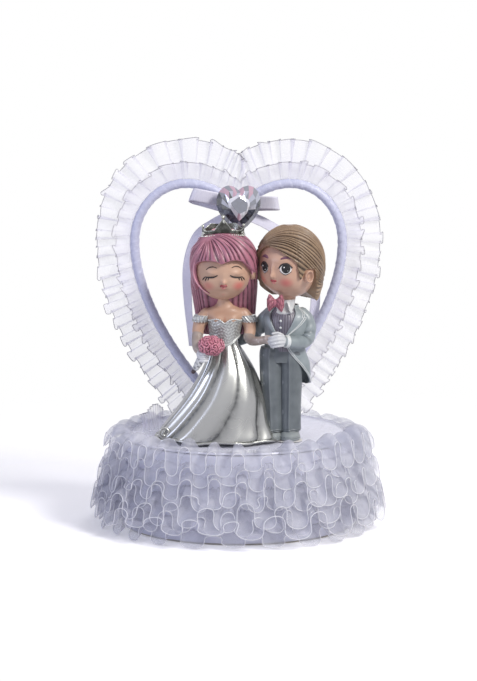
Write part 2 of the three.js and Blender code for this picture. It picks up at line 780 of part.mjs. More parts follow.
// The bride's bouquet: a ball of roses over a wrapped handle.
const bouquet = [trunkX - 6.6, brideY - 12.6, bodiceZ - 3.2];
brideShapes.flowers = (grow) => {
  const petals = [];
  for (let k = 0; k < 5; k++) {
    const a = (k / 5) * 2 * Math.PI;
    const r = bouquetRadius * 0.55;
    petals.push(
      ellipsoid(
        [bouquet[0] + r * Math.cos(a), bouquet[1] - 0.6, bouquet[2] + r * Math.sin(a) * 0.8],
        [bouquetRadius * 0.46, bouquetRadius * 0.5, bouquetRadius * 0.42],
        grow,
        7,
        5,
      ),
    );
  }
  const ball = [bouquetRadius, bouquetRadius * 0.72, bouquetRadius * 0.8];
  return join(ellipsoid(bouquet, ball, grow, 9, 6), ...petals);
};
brideShapes.handle = (grow) =>
  limb(
    [
      [bouquet[0] - 3.2, bouquet[1] + 1.6, bouquet[2] - 3.4],
      [bouquet[0] - 5.4, bouquet[1] + 1.8, bouquet[2] - 6.4],
      [bouquet[0] - 7.6, bouquet[1] + 2, bouquet[2] - 9.6],
    ],
    [2.3, 2, 1.4],
    grow,
    8,
    4,
  );

// Hair: a cap over the skull, open over the face, and the long hair that falls from it.
const capWidth = brideHeadWidth + brideHairThickness;
const capSize = [capWidth, capWidth + 0.3, brideHeadHeight + 0.6];
const capCentre = [brideHead.x + 0.5, brideHead.y + 0.6, brideHead.z + 0.4];
const capFoot = brideHead.z - 0.42 * brideHeadHeight;
const cap = (grow) => ellipsoid(capCentre, capSize, grow, 14, 9);
brideShapes.fringe = (grow) => {
  const { x, y, z } = brideHead;
  const outline = [
    [x - 11.5, z + 2.5],
    [x - 5, z + 3.8],
    [x - 1.6, z + 2.2],
    [x + 4, z + 4.2],
    [x + 11.5, z + 3],
    [x + 10, z + 11],
    [x, z + 14],
    [x - 10, z + 11],
  ];
  const [midX, midZ, swell] = [x, z + 7, 1 + grow / 5];
  const grown = outline.map(([px, pz]) => [midX + (px - midX) * swell, midZ + (pz - midZ) * swell]);
  return patch(cap, -1.2 - grow, 0.7 + grow, prism(grown, y - 2 * brideHeadWidth, y - 3 + grow));
};
brideShapes.cap = () => {
  const window = ellipsoid([brideHead.x, brideHead.y - 16, brideHead.z - 6], [13, 12, 12.2], 0, 12, 7);
  const below = new THREE.BoxGeometry(60, 60, 40).translate(brideHead.x, brideHead.y, capFoot - 20);
  return cut(cap(0), window, below);
};
const hairEnd = brideHead.z - hairFall - 6;
brideShapes.longHair = (grow) =>
  lofted(
    [
      [hairEnd, trunkX - 0.6, brideY + 8, 12, 3.6],
      [hairEnd + 3, trunkX - 0.6, brideY + 7.6, 14, 5],
      [hairEnd + 10, trunkX - 0.8, brideY + 7, 14.6, 6.4],
      [hairEnd + 18, brideHead.x, brideY + 6.2, 15.6, 8.4],
      [capFoot - 5, brideHead.x, brideY + 4.4, 16.2, 11.6],
      [capFoot - seatGap, brideHead.x, brideY + 2, 15.6, 13.4],
    ],
    grow,
    16,
  );

// The tiara: a ring whose foot follows the cap, with spikes at the front, back and sides.
const capHeight = (x, y) =>
  capCentre[2] + capSize[2] * Math.sqrt(1 - (x / capSize[0]) ** 2 - (y / capSize[1]) ** 2);
function tiara() {
  const steps = 24;
  const between = (t, at) => Math.abs(Math.atan2(Math.sin(t - at), Math.cos(t - at)));
  const spike = (t, at, width) => Math.max(0, 1 - between(t, at) / width);
  const ring = hoop(
    Array.from({ length: steps }, (_, k) => {
      const t = (k / steps) * 2 * Math.PI - Math.PI / 2;
      const low = spike(t, 0, 0.5) + spike(t, Math.PI, 0.5) + spike(t, Math.PI / 2, 0.7);
      const rise = tiaraPeak * (spike(t, -Math.PI / 2, 0.8) + 0.55 * low);
      const flare = rise * 0.16;
      const [x, y] = [tiaraWidth * Math.cos(t), tiaraDepth * Math.sin(t)];
      const foot = capHeight(x, y) + seatGap;
      const middleY = capCentre[1] - 1.5;
      const wall = (r, z) =>
        vec(brideHead.x + (tiaraWidth + r) * Math.cos(t), middleY + (tiaraDepth + r) * Math.sin(t), z);
      return [
        wall(0, foot),
        wall(flare, foot + tiaraBand + rise),
        wall(flare - tiaraWall, foot + tiaraBand + rise),
        wall(-tiaraWall, foot + 0.25),
      ];
    }),
  );
  return cut(ring, cap(seatGap));
}

// Groom
const hemZ = floorZ + shoeHeight;
const waistZ = hemZ + trouserHeight;
const collarZ = waistZ + torsoHeight;
const chestX = groomX + 0.8;
const legX = groomX - 2;
const legHalf = 4.9;
const groomHead = {
  x: groomX + 2.7,
  y: groomY + 1,
  z: collarZ + groomNeckLength + groomHeadHeight,
  width: groomHeadWidth,
  height: groomHeadHeight,
  turn: groomHeadTurn,
};
const jacket = (grow) =>
  lofted(
    [
      [waistZ - 20, groomX + 1.4, groomY + 1.6, 10.6, 7.2],
      [waistZ - 12, groomX + 1, groomY + 1, 12.2, 8.4],
      [waistZ - 3, chestX, groomY + 0.6, 11.8, 8.2],
      [waistZ + 5, chestX, groomY, 11.2, 7.6],
      [waistZ + 12, chestX, groomY, 11.6, 7.2],
      [waistZ + 15.6, chestX, groomY, 10.2, 6],
      [collarZ, chestX, groomY, 5.6, 4.8],
    ],
    grow,
    14,
  );
const leg = (side, grow) =>
  lofted(
    [
      [hemZ - 0.6, legX + side * legHalf + 1, groomY, 5.2, 6.2],
      [hemZ + 1, legX + side * legHalf + 1, groomY, 5, 6],
      [hemZ + 0.5 * trouserHeight, legX + side * legHalf + 0.3, groomY, 4.6, 6],
      [hemZ + 0.85 * trouserHeight, legX + side * (legHalf - 0.4), groomY, 5.2, 6.6],
    ],
    grow,
    10,
  );
const groomShapes = {
  head: (grow) => headWithFeatures(groomHead, [82, -82], grow),
  collar: (grow) =>
    lofted(
      [
        [collarZ - 2.4, chestX - 0.6, groomY - 0.6, groomNeckRadius + 2.2, groomNeckRadius + 1.6],
        [collarZ + 2.4, chestX - 0.6, groomY - 0.6, groomNeckRadius + 1, groomNeckRadius + 0.8],
        [collarZ + groomNeckLength + 2, groomHead.x - 1, groomHead.y, groomNeckRadius, groomNeckRadius],
      ],
      grow,
      12,
    ),
  vest: (grow) =>
    lofted(
      [
        [waistZ + seatGap, chestX - 1, groomY - 1, 8.6, 6.4],
        [waistZ + 8, chestX - 1, groomY - 1, 8.8, 6.4],
        [collarZ - 3, chestX - 1, groomY - 1, 7, 5],
        [collarZ - 1, chestX - 1, groomY - 1, 5, 4],
      ],
      grow,
      12,
    ),
  trousers: (grow) =>
    join(
      leg(-1, grow),
      leg(1, grow),
      lofted(
        [
          [waistZ - 8, legX + 0.3, groomY, 9.4, 6.8],
          [waistZ, legX + 1, groomY, 9.2, 6.6],
        ],
        grow,
      ),
    ),
  leftSleeve: (grow) =>
    limb(
      [
        [chestX + 8.8, groomY + 0.6, collarZ - 3.6],
        [chestX + 9.8, groomY + 0.6, waistZ + 9],
        [chestX + 8.6, groomY - 1, waistZ + 3.8],
        [chestX + 3.8, groomY - 6.6, waistZ + 2.6],
        [chestX - 0.6, groomY - 9.8, waistZ + 3.6],
      ],
      [3.5, 3.8, 3.7, 3.4, 3.2],
      grow,
      7,
      6,
    ),
  rightSleeve: (grow) =>
    limb(
      [
        [chestX - 9, groomY + 1.6, collarZ - 3.6],
        [chestX - 11, groomY + 6, waistZ + 8],
        [chestX - 14.6, groomY + 10, waistZ + 2.6],
        [chestX - 21, groomY + 12.4, waistZ + 0.4],
      ],
      [3.5, 3.6, 3.4, 3.1],
      grow,
      8,
      7,
    ),
  leftGlove: (grow) =>
    join(
      ellipsoid([chestX - 5.8, groomY - 11.6, waistZ + 3.8], [4.1, 3.1, 3.2], grow, 9, 6),
      ellipsoid([chestX - 3, groomY - 11, waistZ + 3.8], [2.6, 2.7, 2.8], grow, 8, 5),
    ),
  rightGlove: (grow) => ellipsoid([chestX - 26.6, groomY + 12, waistZ - 0.2], [4.2, 2.4, 3], grow, 9, 6),
  bowTie: (grow) =>
    join(
      ellipsoid([chestX - 5.2, groomY - 7.2, collarZ + 0.6], [1.5, 1.6, 1.7], grow, 7, 5),
      ellipsoid([chestX - 7.6, groomY - 7, collarZ + 0.8], [2.6, 1.3, 2.9], grow, 7, 5),
      ellipsoid([chestX - 2.8, groomY - 7, collarZ + 0.8], [2.6, 1.3, 2.9], grow, 7, 5),
    ),
};
function shoe(side, grow) {
  const x = legX + side * legHalf - 0.4;
  const toe = groomY - shoeLength * 0.62;
  return lofted(
    [
      [floorZ, x, toe + shoeLength / 2, shoeWidth / 2, shoeLength / 2],
      [floorZ + 0.4 * shoeHeight, x, toe + shoeLength / 2, shoeWidth / 2 - 0.1, shoeLength / 2 - 0.2],
      [floorZ + 0.75 * shoeHeight, x, toe + shoeLength * 0.54, shoeWidth / 2 - 1, shoeLength * 0.4],
      [floorZ + shoeHeight + 0.4, x, toe + shoeLength * 0.62, shoeWidth / 2 - 2, shoeLength * 0.26],
    ],
    grow,
    14,
  );
}
groomShapes.leftShoe = (grow) => shoe(1, grow);
groomShapes.rightShoe = (grow) => shoe(-1, grow);
const bridePadKeep = pad(brideX, brideY, bridePad[0] + seatGap, bridePad[1] + seatGap);
add("glue_pad_groom", cut(pad(legX + 4, groomY - 2.4, 6.6, 5.4), bridePadKeep), paint.glue);

// The jacket is cut away in front, from the neck to one button and out again to the tails.
const buttonZ = waistZ + 2.4;
const frontOpening = [
  [chestX - 7.5, collarZ + 3],
  [chestX - 4.6, buttonZ + 3],
  [chestX - 5.4, buttonZ - 3],
  [chestX - 20, buttonZ - 6],
  [chestX - 20, waistZ - 30],
  [chestX + 8, waistZ - 30],
  [chestX + 7.4, waistZ - 13],
  [chestX + 3.4, buttonZ - 6],
  [chestX - 0.6, buttonZ],
  [chestX + 2.4, collarZ + 3],
];
groomShapes.jacket = () => cut(jacket(0), prism(frontOpening, groomY - 30, groomY + 1.5));
const lapel = (side) => {
  const x = chestX - 2.4;
  const outline = [
    [x + side * 2.2, buttonZ + 2],
    [x + side * 5, collarZ - 6],
    [x + side * 4.4, collarZ + 1],
    [x + side * 8, collarZ - 1],
    [x + side * 9, collarZ - 6],
    [x + side * 6, buttonZ + 5],
  ];
  return patch(jacket, cutGap, 1.2, prism(side < 0 ? outline.reverse() : outline, groomY - 20, groomY - 2));
};

// Groom's hair: a cap open over the face, lower at the nape.
const groomCapWidth = groomHeadWidth + groomHairThickness;
const groomCapSize = [groomCapWidth, groomCapWidth, groomHeadHeight + groomHairThickness];
groomShapes.hair = () => {
  const skull = ellipsoid([groomHead.x, groomHead.y + 0.8, groomHead.z + 0.4], groomCapSize, 0, 14, 9);
  const nape = ellipsoid([groomHead.x + 4, groomHead.y + 6, groomHead.z - 10], [9, 8, 9], 0, 9, 6);
  const window = ellipsoid(onHead(groomHead, 4, -6.4, 16), [13, 12.4, 12.8], 0, 12, 7);
  const side = ellipsoid(onHead(groomHead, 62, -12, 14), [8, 8, 8], 0, 9, 6);
  return cut(join(skull, nape), window, side);
};

// Every figure piece in the order of who keeps its shape. A later one is cut by the earlier ones
// near it, each swollen by the clearance.
const figure = [
  ["bride_head", brideShapes.head, paint.skin],
  ["bride_waistband", brideShapes.band, paint.lace],
  ["bride_skirt", brideShapes.skirt, paint.gown],
  ["bride_bodice", brideShapes.bodice, paint.lace],
  ["bride_right_sleeve", brideShapes.rightSleeve, paint.lace],
  ["bride_left_sleeve", brideShapes.leftSleeve, paint.lace],
  ["bride_bust", brideShapes.bust, paint.skin],
  ["bride_right_arm", brideShapes.rightArm, paint.skin],
  ["bride_left_arm", brideShapes.leftArm, paint.skin],
  ["bride_right_glove", brideShapes.rightGlove, paint.lace],
  ["bride_left_glove", brideShapes.leftGlove, paint.lace],
  ["bouquet_handle", brideShapes.handle, paint.white],
  ["bouquet_flowers", brideShapes.flowers, paint.rose],
  ["bride_fringe", brideShapes.fringe, paint.pinkHair],
  ["bride_hair_cap", brideShapes.cap, paint.pinkHair],
  ["groom_head", groomShapes.head, paint.skin],
  ["groom_left_glove", groomShapes.leftGlove, paint.white],
  ["groom_left_sleeve", groomShapes.leftSleeve, paint.suit],
  ["groom_bow_tie", groomShapes.bowTie, paint.rose],
  ["groom_collar", groomShapes.collar, paint.white],
  ["groom_vest", groomShapes.vest, paint.vest],
  ["groom_trousers", groomShapes.trousers, paint.suit],
  ["groom_left_shoe", groomShapes.leftShoe, paint.suit],
  ["groom_right_shoe", groomShapes.rightShoe, paint.suit],
  ["groom_jacket", groomShapes.jacket, paint.suit],
  ["groom_left_lapel", () => lapel(1), paint.suit],
  ["groom_right_lapel", () => lapel(-1), paint.suit],
  ["groom_right_sleeve", groomShapes.rightSleeve, paint.suit],
  ["groom_right_glove", groomShapes.rightGlove, paint.white],
  ["bride_long_hair", brideShapes.longHair, paint.pinkHair],
  ["groom_hair", groomShapes.hair, paint.brownHair],
];
const steep = new Set(["bride_skirt", "bride_bust", "bride_fringe", "groom_collar"]); // folded or sloping
const swollen = { bride_hair_cap: () => cap(cutGap), groom_jacket: () => jacket(1.6 * cutGap) };
const placed = [];
for (const [name, shape, material] of figure) {
  const geometry = shape(0);
  geometry.computeBoundingBox();
  const near = placed.filter((other) => other.box.intersectsBox(geometry.boundingBox));
  add(name, near.length ? cut(geometry, ...near.map((other) => other.tool)) : geometry, material);
  const tool = (swollen[name] ?? shape)(steep.has(name) ? 2 * cutGap : cutGap);
  tool.computeBoundingBox();
  placed.push({ box: tool.boundingBox, tool });
}
add("bride_tiara", tiara(), paint.silver);

export default part;
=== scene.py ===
"""Visual model of a wedding cake topper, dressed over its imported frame.

A cast resin bride and groom stand on a round drum trimmed with gathered organza. Behind them a
heart arch of wrapped tube carries pleated organza, a satin bow with two tails and a heart gem.
Sizes in the classes are millimetres, as in the part's source, and meshes are made in metres.
"""

import json
import logging
import math
from dataclasses import dataclass, field
from enum import Enum
from typing import Callable, Optional, Sequence

import bmesh
import bpy
import numpy as np
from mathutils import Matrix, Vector

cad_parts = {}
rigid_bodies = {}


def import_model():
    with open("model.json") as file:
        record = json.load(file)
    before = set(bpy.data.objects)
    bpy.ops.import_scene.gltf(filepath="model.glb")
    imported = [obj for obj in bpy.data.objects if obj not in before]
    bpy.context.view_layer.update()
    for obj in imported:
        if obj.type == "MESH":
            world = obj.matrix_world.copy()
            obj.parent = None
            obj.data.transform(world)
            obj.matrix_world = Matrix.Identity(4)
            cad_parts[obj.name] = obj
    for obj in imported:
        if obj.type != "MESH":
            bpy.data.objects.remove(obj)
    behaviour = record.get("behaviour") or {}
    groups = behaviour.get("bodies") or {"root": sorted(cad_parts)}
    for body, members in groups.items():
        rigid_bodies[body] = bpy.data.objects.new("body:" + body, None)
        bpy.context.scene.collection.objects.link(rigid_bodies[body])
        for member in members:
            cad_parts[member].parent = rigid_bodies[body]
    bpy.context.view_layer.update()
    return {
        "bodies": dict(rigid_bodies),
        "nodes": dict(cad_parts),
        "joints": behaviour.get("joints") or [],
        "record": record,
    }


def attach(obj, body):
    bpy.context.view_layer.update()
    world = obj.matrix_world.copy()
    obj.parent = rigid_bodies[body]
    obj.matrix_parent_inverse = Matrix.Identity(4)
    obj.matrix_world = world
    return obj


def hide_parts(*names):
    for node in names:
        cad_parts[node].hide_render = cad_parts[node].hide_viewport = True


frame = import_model()

LOG = logging.getLogger("cake_topper")
MM = 0.001
TURN = 2 * math.pi
BODY = "root"
UP = np.array([0.0, 0.0, 1.0])
RIBBON_THICKNESS = 0.22
LAPEL_THICKNESS = 0.5
Array = np.ndarray
Relief = Callable[[Array, Array], Array]
Pair = tuple[float, float]
Place = tuple[float, float, float]


class Hold(Enum):
    """How a sheet of cloth is held."""

    GATHERED = "gathered"
    STRETCHED = "stretched"


class Slot(Enum):
    """The record's material slots, each named by a finish."""

    SATIN = "satin"
    ORGANZA = "organza"
    TUBE = "wrapped_tube"
    GEM = "gem"
    SKIN = "skin"
    PINK_HAIR = "pink_hair"
    BROWN_HAIR = "brown_hair"
    TIARA = "tiara_silver"
    GOWN = "gown_paint"
    LACE = "lace_paint"
    ROSE = "rose_paint"
    WHITE = "white_paint"
    VEST = "vest_paint"
    SUIT = "suit_paint"


def smooth(x: Array | float) -> Array | float:
    """Eases a value from 0 to 1."""
    x = np.clip(x, 0.0, 1.0)
    return x * x * (3 - 2 * x)


def half_turn(a: Array) -> Array:
    """Angles brought to within half a turn of zero."""
    return (a + math.pi) % TURN - math.pi


def bump(x: Array, middle: float, width: float) -> Array:
    """A bell of height 1 round a middle."""
    return np.exp(-(((x - middle) / width) ** 2))


def ridges(x: Array, sharpness: float = 1.5) -> Array:
    """Rounded ridges with narrow grooves between them, one for each unit of x, from 0 to 1."""
    return np.abs(np.sin(np.pi * x)) ** (1 / sharpness)


def wander(x: Array, seed: int, size: float = 1.0) -> Array:
    """A slow irregular wave that comes back on itself over a full turn.

    Args:
        x: Angles in radians.
        seed: Which wave.
        size: Its largest value, about.

    Returns:
        The wave at each angle.
    """
    rng = np.random.default_rng(seed)
    wave = np.zeros_like(x, dtype=float)
    for step in range(1, 8):
        wave = wave + rng.normal() / step**0.7 * np.sin(step * x + rng.uniform(0, TURN))
    return wave * size / 2.6


def spline(keys: Sequence[Sequence[float]], count: int) -> Array:
    """A smooth run through key rows.

    Args:
        keys: Rows of numbers, in order.
        count: How many rows to give back.

    Returns:
        An array of count rows, evenly spread over the keys.
    """
    k = np.array(keys, float)
    n = len(k)
    at = np.linspace(0, n - 1, count)
    i = np.minimum(np.floor(at).astype(int), n - 2)
    f = (at - i)[:, None]
    k = np.vstack([2 * k[0] - k[1], k, 2 * k[-1] - k[-2]])
    a, b, c, d = (k[i + step] for step in range(4))
    return 0.5 * (
        2 * b + (c - a) * f + (2 * a - 5 * b + 4 * c - d) * f**2 + (3 * b - a - 3 * c + d) * f**3
    )


def run_of(path: Array) -> Array:
    """The length of a path so far, at each of its points."""
    return np.concatenate([[0], np.cumsum(np.linalg.norm(np.diff(path, axis=0), axis=1))])


def picked(path: Array, run: Array, at: Array) -> Array:
    """The places on a path where its length so far has given values."""
    return np.stack([np.interp(at, run, column) for column in path.T], axis=-1)


def spaced(path: Array, count: int) -> Array:
    """The same path with its points evenly spaced along it."""
    run = run_of(path)
    return picked(path, run, np.linspace(0, run[-1], count))


def softened(values: Array, kernel: Array, ends: str = "edge") -> Array:
    """Values averaged with their neighbours.

    Args:
        values: The values, in a row.
        kernel: The neighbours' shares, an odd number of them.
        ends: How the row goes on past its ends, as numpy's pad names it.

    Returns:
        As many values.
    """
    return np.convolve(np.pad(values, len(kernel) // 2, mode=ends), kernel, "valid")


def length_of(path: Array) -> float:
    """The length of a path through points."""
    return float(np.linalg.norm(np.diff(path, axis=0), axis=1).sum())


def unit(v: Array) -> Array:
    """Vectors of length 1."""
    return v / np.maximum(np.linalg.norm(v, axis=-1, keepdims=True), 1e-12)


def oval(x: float, y: float, rx: Array, ry: Array, a: Array, z: Array) -> Array:
    """Points on level ovals, at azimuths from their fronts."""
    return np.stack([x + rx * np.sin(a), y - ry * np.cos(a), z + 0 * a], axis=-1)


def grid_normals(points: Array, round_rows: bool, round_columns: bool) -> Array:
    """Normals of a grid of points, as rows cross columns.

    Args:
        points: Rows of points.
        round_rows: True where the last row leads back to the first.
        round_columns: True where the last column does.

    Returns:
        A direction of length 1 for each point.
    """

    def slope(axis: int, closed: bool) -> Array:
        """The grid's direction along one axis.

        Args:
            axis: 0 for along the columns, 1 for along the rows.
            closed: True where the last point leads back to the first.

        Returns:
            The direction at each point.
        """
        if closed:
            return np.roll(points, -1, axis) - np.roll(points, 1, axis)
        return np.gradient(points, axis=axis)

    return unit(np.cross(slope(1, round_columns), slope(0, round_rows)))


@dataclass
class Surface:
    """A grid of points that becomes a mesh.

    Rows run one way and columns the other. Closed columns make a tube, and capped ends make it
    a solid.
    """

    points: Array
    closed: bool = True
    closed_rows: bool = False
    caps: bool = True
    groove: Optional[Array] = None
    flip: bool = False

    def relief(self, height: Array | float) -> "Surface":
        """Moves every point along its normal by a height in millimetres.

        Args:
            height: How far each point moves.

        Returns:
            The same surface.
        """
        normals = grid_normals(self.points, self.closed_rows, self.closed)
        if self.flip:
            normals = -normals
        self.points = self.points + normals * np.broadcast_to(height, self.points.shape[:2])[..., None]
        return self

    def parts(self) -> tuple[Array, list, Array, Array]:
        """The mesh of the grid.

        Returns:
            Its points, faces, one texture place for each face corner, and a groove value for
            each point.
        """
        rows, cols = self.points.shape[:2]
        points = self.points.reshape(-1, 3)
        groove = np.zeros(len(points)) if self.groove is None else self.groove.reshape(-1)
        last_row = rows if self.closed_rows else rows - 1
        last_col = cols if self.closed else cols - 1
        i, j = np.meshgrid(np.arange(last_row), np.arange(last_col), indexing="ij")
        a = i * cols + j
        b = i * cols + (j + 1) % cols
        c = ((i + 1) % rows) * cols + (j + 1) % cols
        d = ((i + 1) % rows) * cols + j
        quads = np.stack([a, b, c, d], axis=-1).reshape(-1, 4)
        along = np.linalg.norm(np.diff(self.points, axis=0), axis=2).mean(axis=1)
        across = np.linalg.norm(np.diff(self.points, axis=1), axis=2).mean(axis=0)
        v = np.concatenate([[0], np.cumsum(along)])
        u = np.concatenate([[0], np.cumsum(across)])
        v = np.append(v, v[-1] * rows / max(rows - 1, 1))
        u = np.append(u, u[-1] * cols / max(cols - 1, 1))
        corner_u = np.stack([u[j], u[j + 1], u[j + 1], u[j]], axis=-1)
        corner_v = np.stack([v[i], v[i], v[i + 1], v[i + 1]], axis=-1)
        places = np.stack([corner_u, corner_v], axis=-1).reshape(-1, 2)
        faces = quads.tolist()
        if self.flip:
            faces = [face[::-1] for face in faces]
            places = places.reshape(-1, 4, 2)[:, ::-1].reshape(-1, 2)
        if self.caps and self.closed and not self.closed_rows:
            hubs = [self.points[0].mean(axis=0), self.points[-1].mean(axis=0)]
            hub_groove = [groove[:cols].mean(), groove[-cols:].mean()]
            first, second = len(points), len(points) + 1
            points = np.vstack([points, hubs])
            groove = np.append(groove, hub_groove)
            end = (rows - 1) * cols
            extra = []
            for k in range(cols):
                n = (k + 1) % cols
                extra.append([first, n, k])
                extra.append([second, end + k, end + n])
            if self.flip:
                extra = [face[::-1] for face in extra]
            faces = faces + extra
            places = np.vstack([places, np.zeros((3 * len(extra), 2))])
        return points, faces, places, groove


def build(name: str, surfaces: Sequence[Surface]) -> bpy.types.Object:
    """Makes one mesh object of several surfaces.

    Args:
        name: The piece's name.
        surfaces: Its surfaces, in millimetres.

    Returns:
        The new object, linked to the scene.
    """
    points, faces, places, groove, base = [], [], [], [], 0
    for surface in surfaces:
        p, f, uv, g = surface.parts()
        points.append(p)
        faces.extend([[k + base for k in face] for face in f])
        places.append(uv)
        groove.append(g)
        base += len(p)
    mesh = bpy.data.meshes.new(name)
    mesh.from_pydata((np.vstack(points) * MM).tolist(), [], faces)
    layer = mesh.uv_layers.new(name="cloth")
    layer.data.foreach_set("uv", (np.vstack(places) * MM).astype(np.float32).ravel())
    depth = mesh.attributes.new("groove", "FLOAT", "POINT")
    depth.data.foreach_set("value", np.concatenate(groove).astype(np.float32))
    mesh.polygons.foreach_set("use_smooth", [True] * len(mesh.polygons))
    mesh.update()
    piece = bpy.data.objects.new(name, mesh)
    bpy.context.scene.collection.objects.link(piece)
    return piece


def ring_angles(around: int) -> Array:
    """Angles round an upright ring, the first at +X."""
    return np.arange(around) / around * TURN


def loft(
    sections: Sequence[Sequence[float]],
    rows: int = 60,
    around: int = 96,
    relief: Optional[Relief] = None,
    groove: Optional[Relief] = None,
    power: float = 1.0,
) -> Surface:
    """An upright body through oval sections.

    Args:
        sections: Rows of height, x, y, half width and half depth, from the foot up.
        rows: How many rings.
        around: How many points in a ring.
        relief: Height of carving along the normal, at an angle and a share of the height.
        groove: Depth of paint in the carving, at the same places.
        power: Below 1 makes the ovals squarer.

    Returns:
        The closed surface.
    """
    z, x, y, rx, ry = spline(sections, rows).T[:, :, None]
    t = np.broadcast_to(ring_angles(around), (rows, around))
    s = np.broadcast_to(np.linspace(0, 1, rows)[:, None], t.shape)
    cos = np.sign(np.cos(t)) * np.abs(np.cos(t)) ** power
    sin = np.sign(np.sin(t)) * np.abs(np.sin(t)) ** power
    points = np.stack([x + rx * cos, y + ry * sin, z + 0 * t], axis=-1)
    made = Surface(points)
    if relief is not None:
        made.relief(relief(t, s))
    if groove is not None:
        made.groove = groove(t, s)
    return made


def ball(
    centre: Sequence[float],
    radii: Sequence[float],
    around: int = 32,
    rows: int = 20,
    relief: Optional[Relief] = None,
) -> Surface:
    """A closed round body, its poles up and down.

    Args:
        centre: Its middle.
        radii: Half sizes along X, Y and Z.
        around: Points in a ring.
        rows: Rings from pole to pole.
        relief: Height along the normal, at an angle and a share of the way up.

    Returns:
        The closed surface.
    """
    edge = 0.35 / rows
    s = np.linspace(edge, 1 - edge, rows)[:, None]
    t = np.broadcast_to(ring_angles(around), (rows, around))
    s = np.broadcast_to(s, t.shape)
    up = np.sin((s - 0.5) * np.pi)
    out = np.cos((s - 0.5) * np.pi)
    way = np.stack([out * np.cos(t), out * np.sin(t), up], axis=-1)
    made = Surface(np.array(centre) + way * np.array(radii))
    if relief is not None:
        made.relief(relief(t, s))
    return made


def frames(path: Array, closed: bool = False) -> tuple[Array, Array]:
    """Two directions across a path at each point, turning as little as possible.

    Args:
        path: The path's points.
        closed: True where it comes back to its start.

    Returns:
        Both directions, one row for each point.
    """
    if closed:
        tangents = unit(np.roll(path, -1, 0) - np.roll(path, 1, 0))
    else:
        tangents = unit(np.gradient(path, axis=0))
    side = np.zeros_like(path)
    start = np.array([0.0, 0, 1]) if abs(tangents[0][2]) < 0.9 else np.array([0.0, 1, 0])
    current = unit(np.cross(start, tangents[0]))
    for i, tangent in enumerate(tangents):
        current = unit(current - tangent * float(current @ tangent))
        side[i] = current
    return side, np.cross(tangents, side)


def sweep(
    path: Array,
    radii: Array | float,
    sides: int = 16,
    flat: float = 1.0,
    dome: bool = True,
    closed: bool = False,
    across: Optional[Array] = None,
) -> Surface:
    """A round or oval rod along a path.

    Args:
        path: Its points.
        radii: Its half thickness at each point, or everywhere.
        sides: Points round it.
        flat: How thick it is in its second direction, as a share of the first.
        dome: True to round its ends off.
        closed: True where the path comes back to its start.
        across: The first direction across it at each point, where it matters.

    Returns:
        The surface, closed at its ends.
    """
    r = np.broadcast_to(np.asarray(radii, float), (len(path),))
    side, up = frames(path, closed)
    if across is not None:
        tangents = unit(np.gradient(path, axis=0))
        side = unit(across - tangents * (across * tangents).sum(axis=1, keepdims=True))
        up = np.cross(tangents, side)
    if dome and not closed:
        tangent = unit(path[1] - path[0]), unit(path[-1] - path[-2])
        rings = [(0.35, 0.94), (0.75, 0.66), (0.95, 0.31)]
        before = [path[0] - tangent[0] * r[0] * k * flat for k, _ in rings][::-1]
        after = [path[-1] + tangent[1] * r[-1] * k * flat for k, _ in rings]
        path = np.vstack([before, path, after])
        r = np.concatenate([[r[0] * w for _, w in rings][::-1], r, [r[-1] * w for _, w in rings]])
        side = np.vstack([side[:1]] * 3 + [side] + [side[-1:]] * 3)
        up = np.vstack([up[:1]] * 3 + [up] + [up[-1:]] * 3)
    a = ring_angles(sides)
    ring = side[:, None] * np.cos(a)[None, :, None] + up[:, None] * np.sin(a)[None, :, None] * flat
    points = path[:, None] + ring * r[:, None, None]
    return Surface(points, closed_rows=closed, caps=not closed)


def limb(
    points: Sequence[Sequence[float]], radii: Sequence[float], sides: int = 40, rows: int = 48
) -> Surface:
    """A rounded limb through points, with one radius for each."""
    r = spline([[value] for value in radii], rows)[:, 0]
    return sweep(spline(points, rows), r, sides)


def srgb(code: str) -> tuple[float, float, float, float]:
    """A colour written as six hexadecimal digits, in linear values.

    Args:
        code: The digits.

    Returns:
        Red, green, blue and an alpha of 1.
    """
    values = [int(code[k : k + 2], 16) / 255 for k in (0, 2, 4)]
    linear = [v / 12.92 if v <= 0.04045 else ((v + 0.055) / 1.055) ** 2.4 for v in values]
    return (*linear, 1.0)


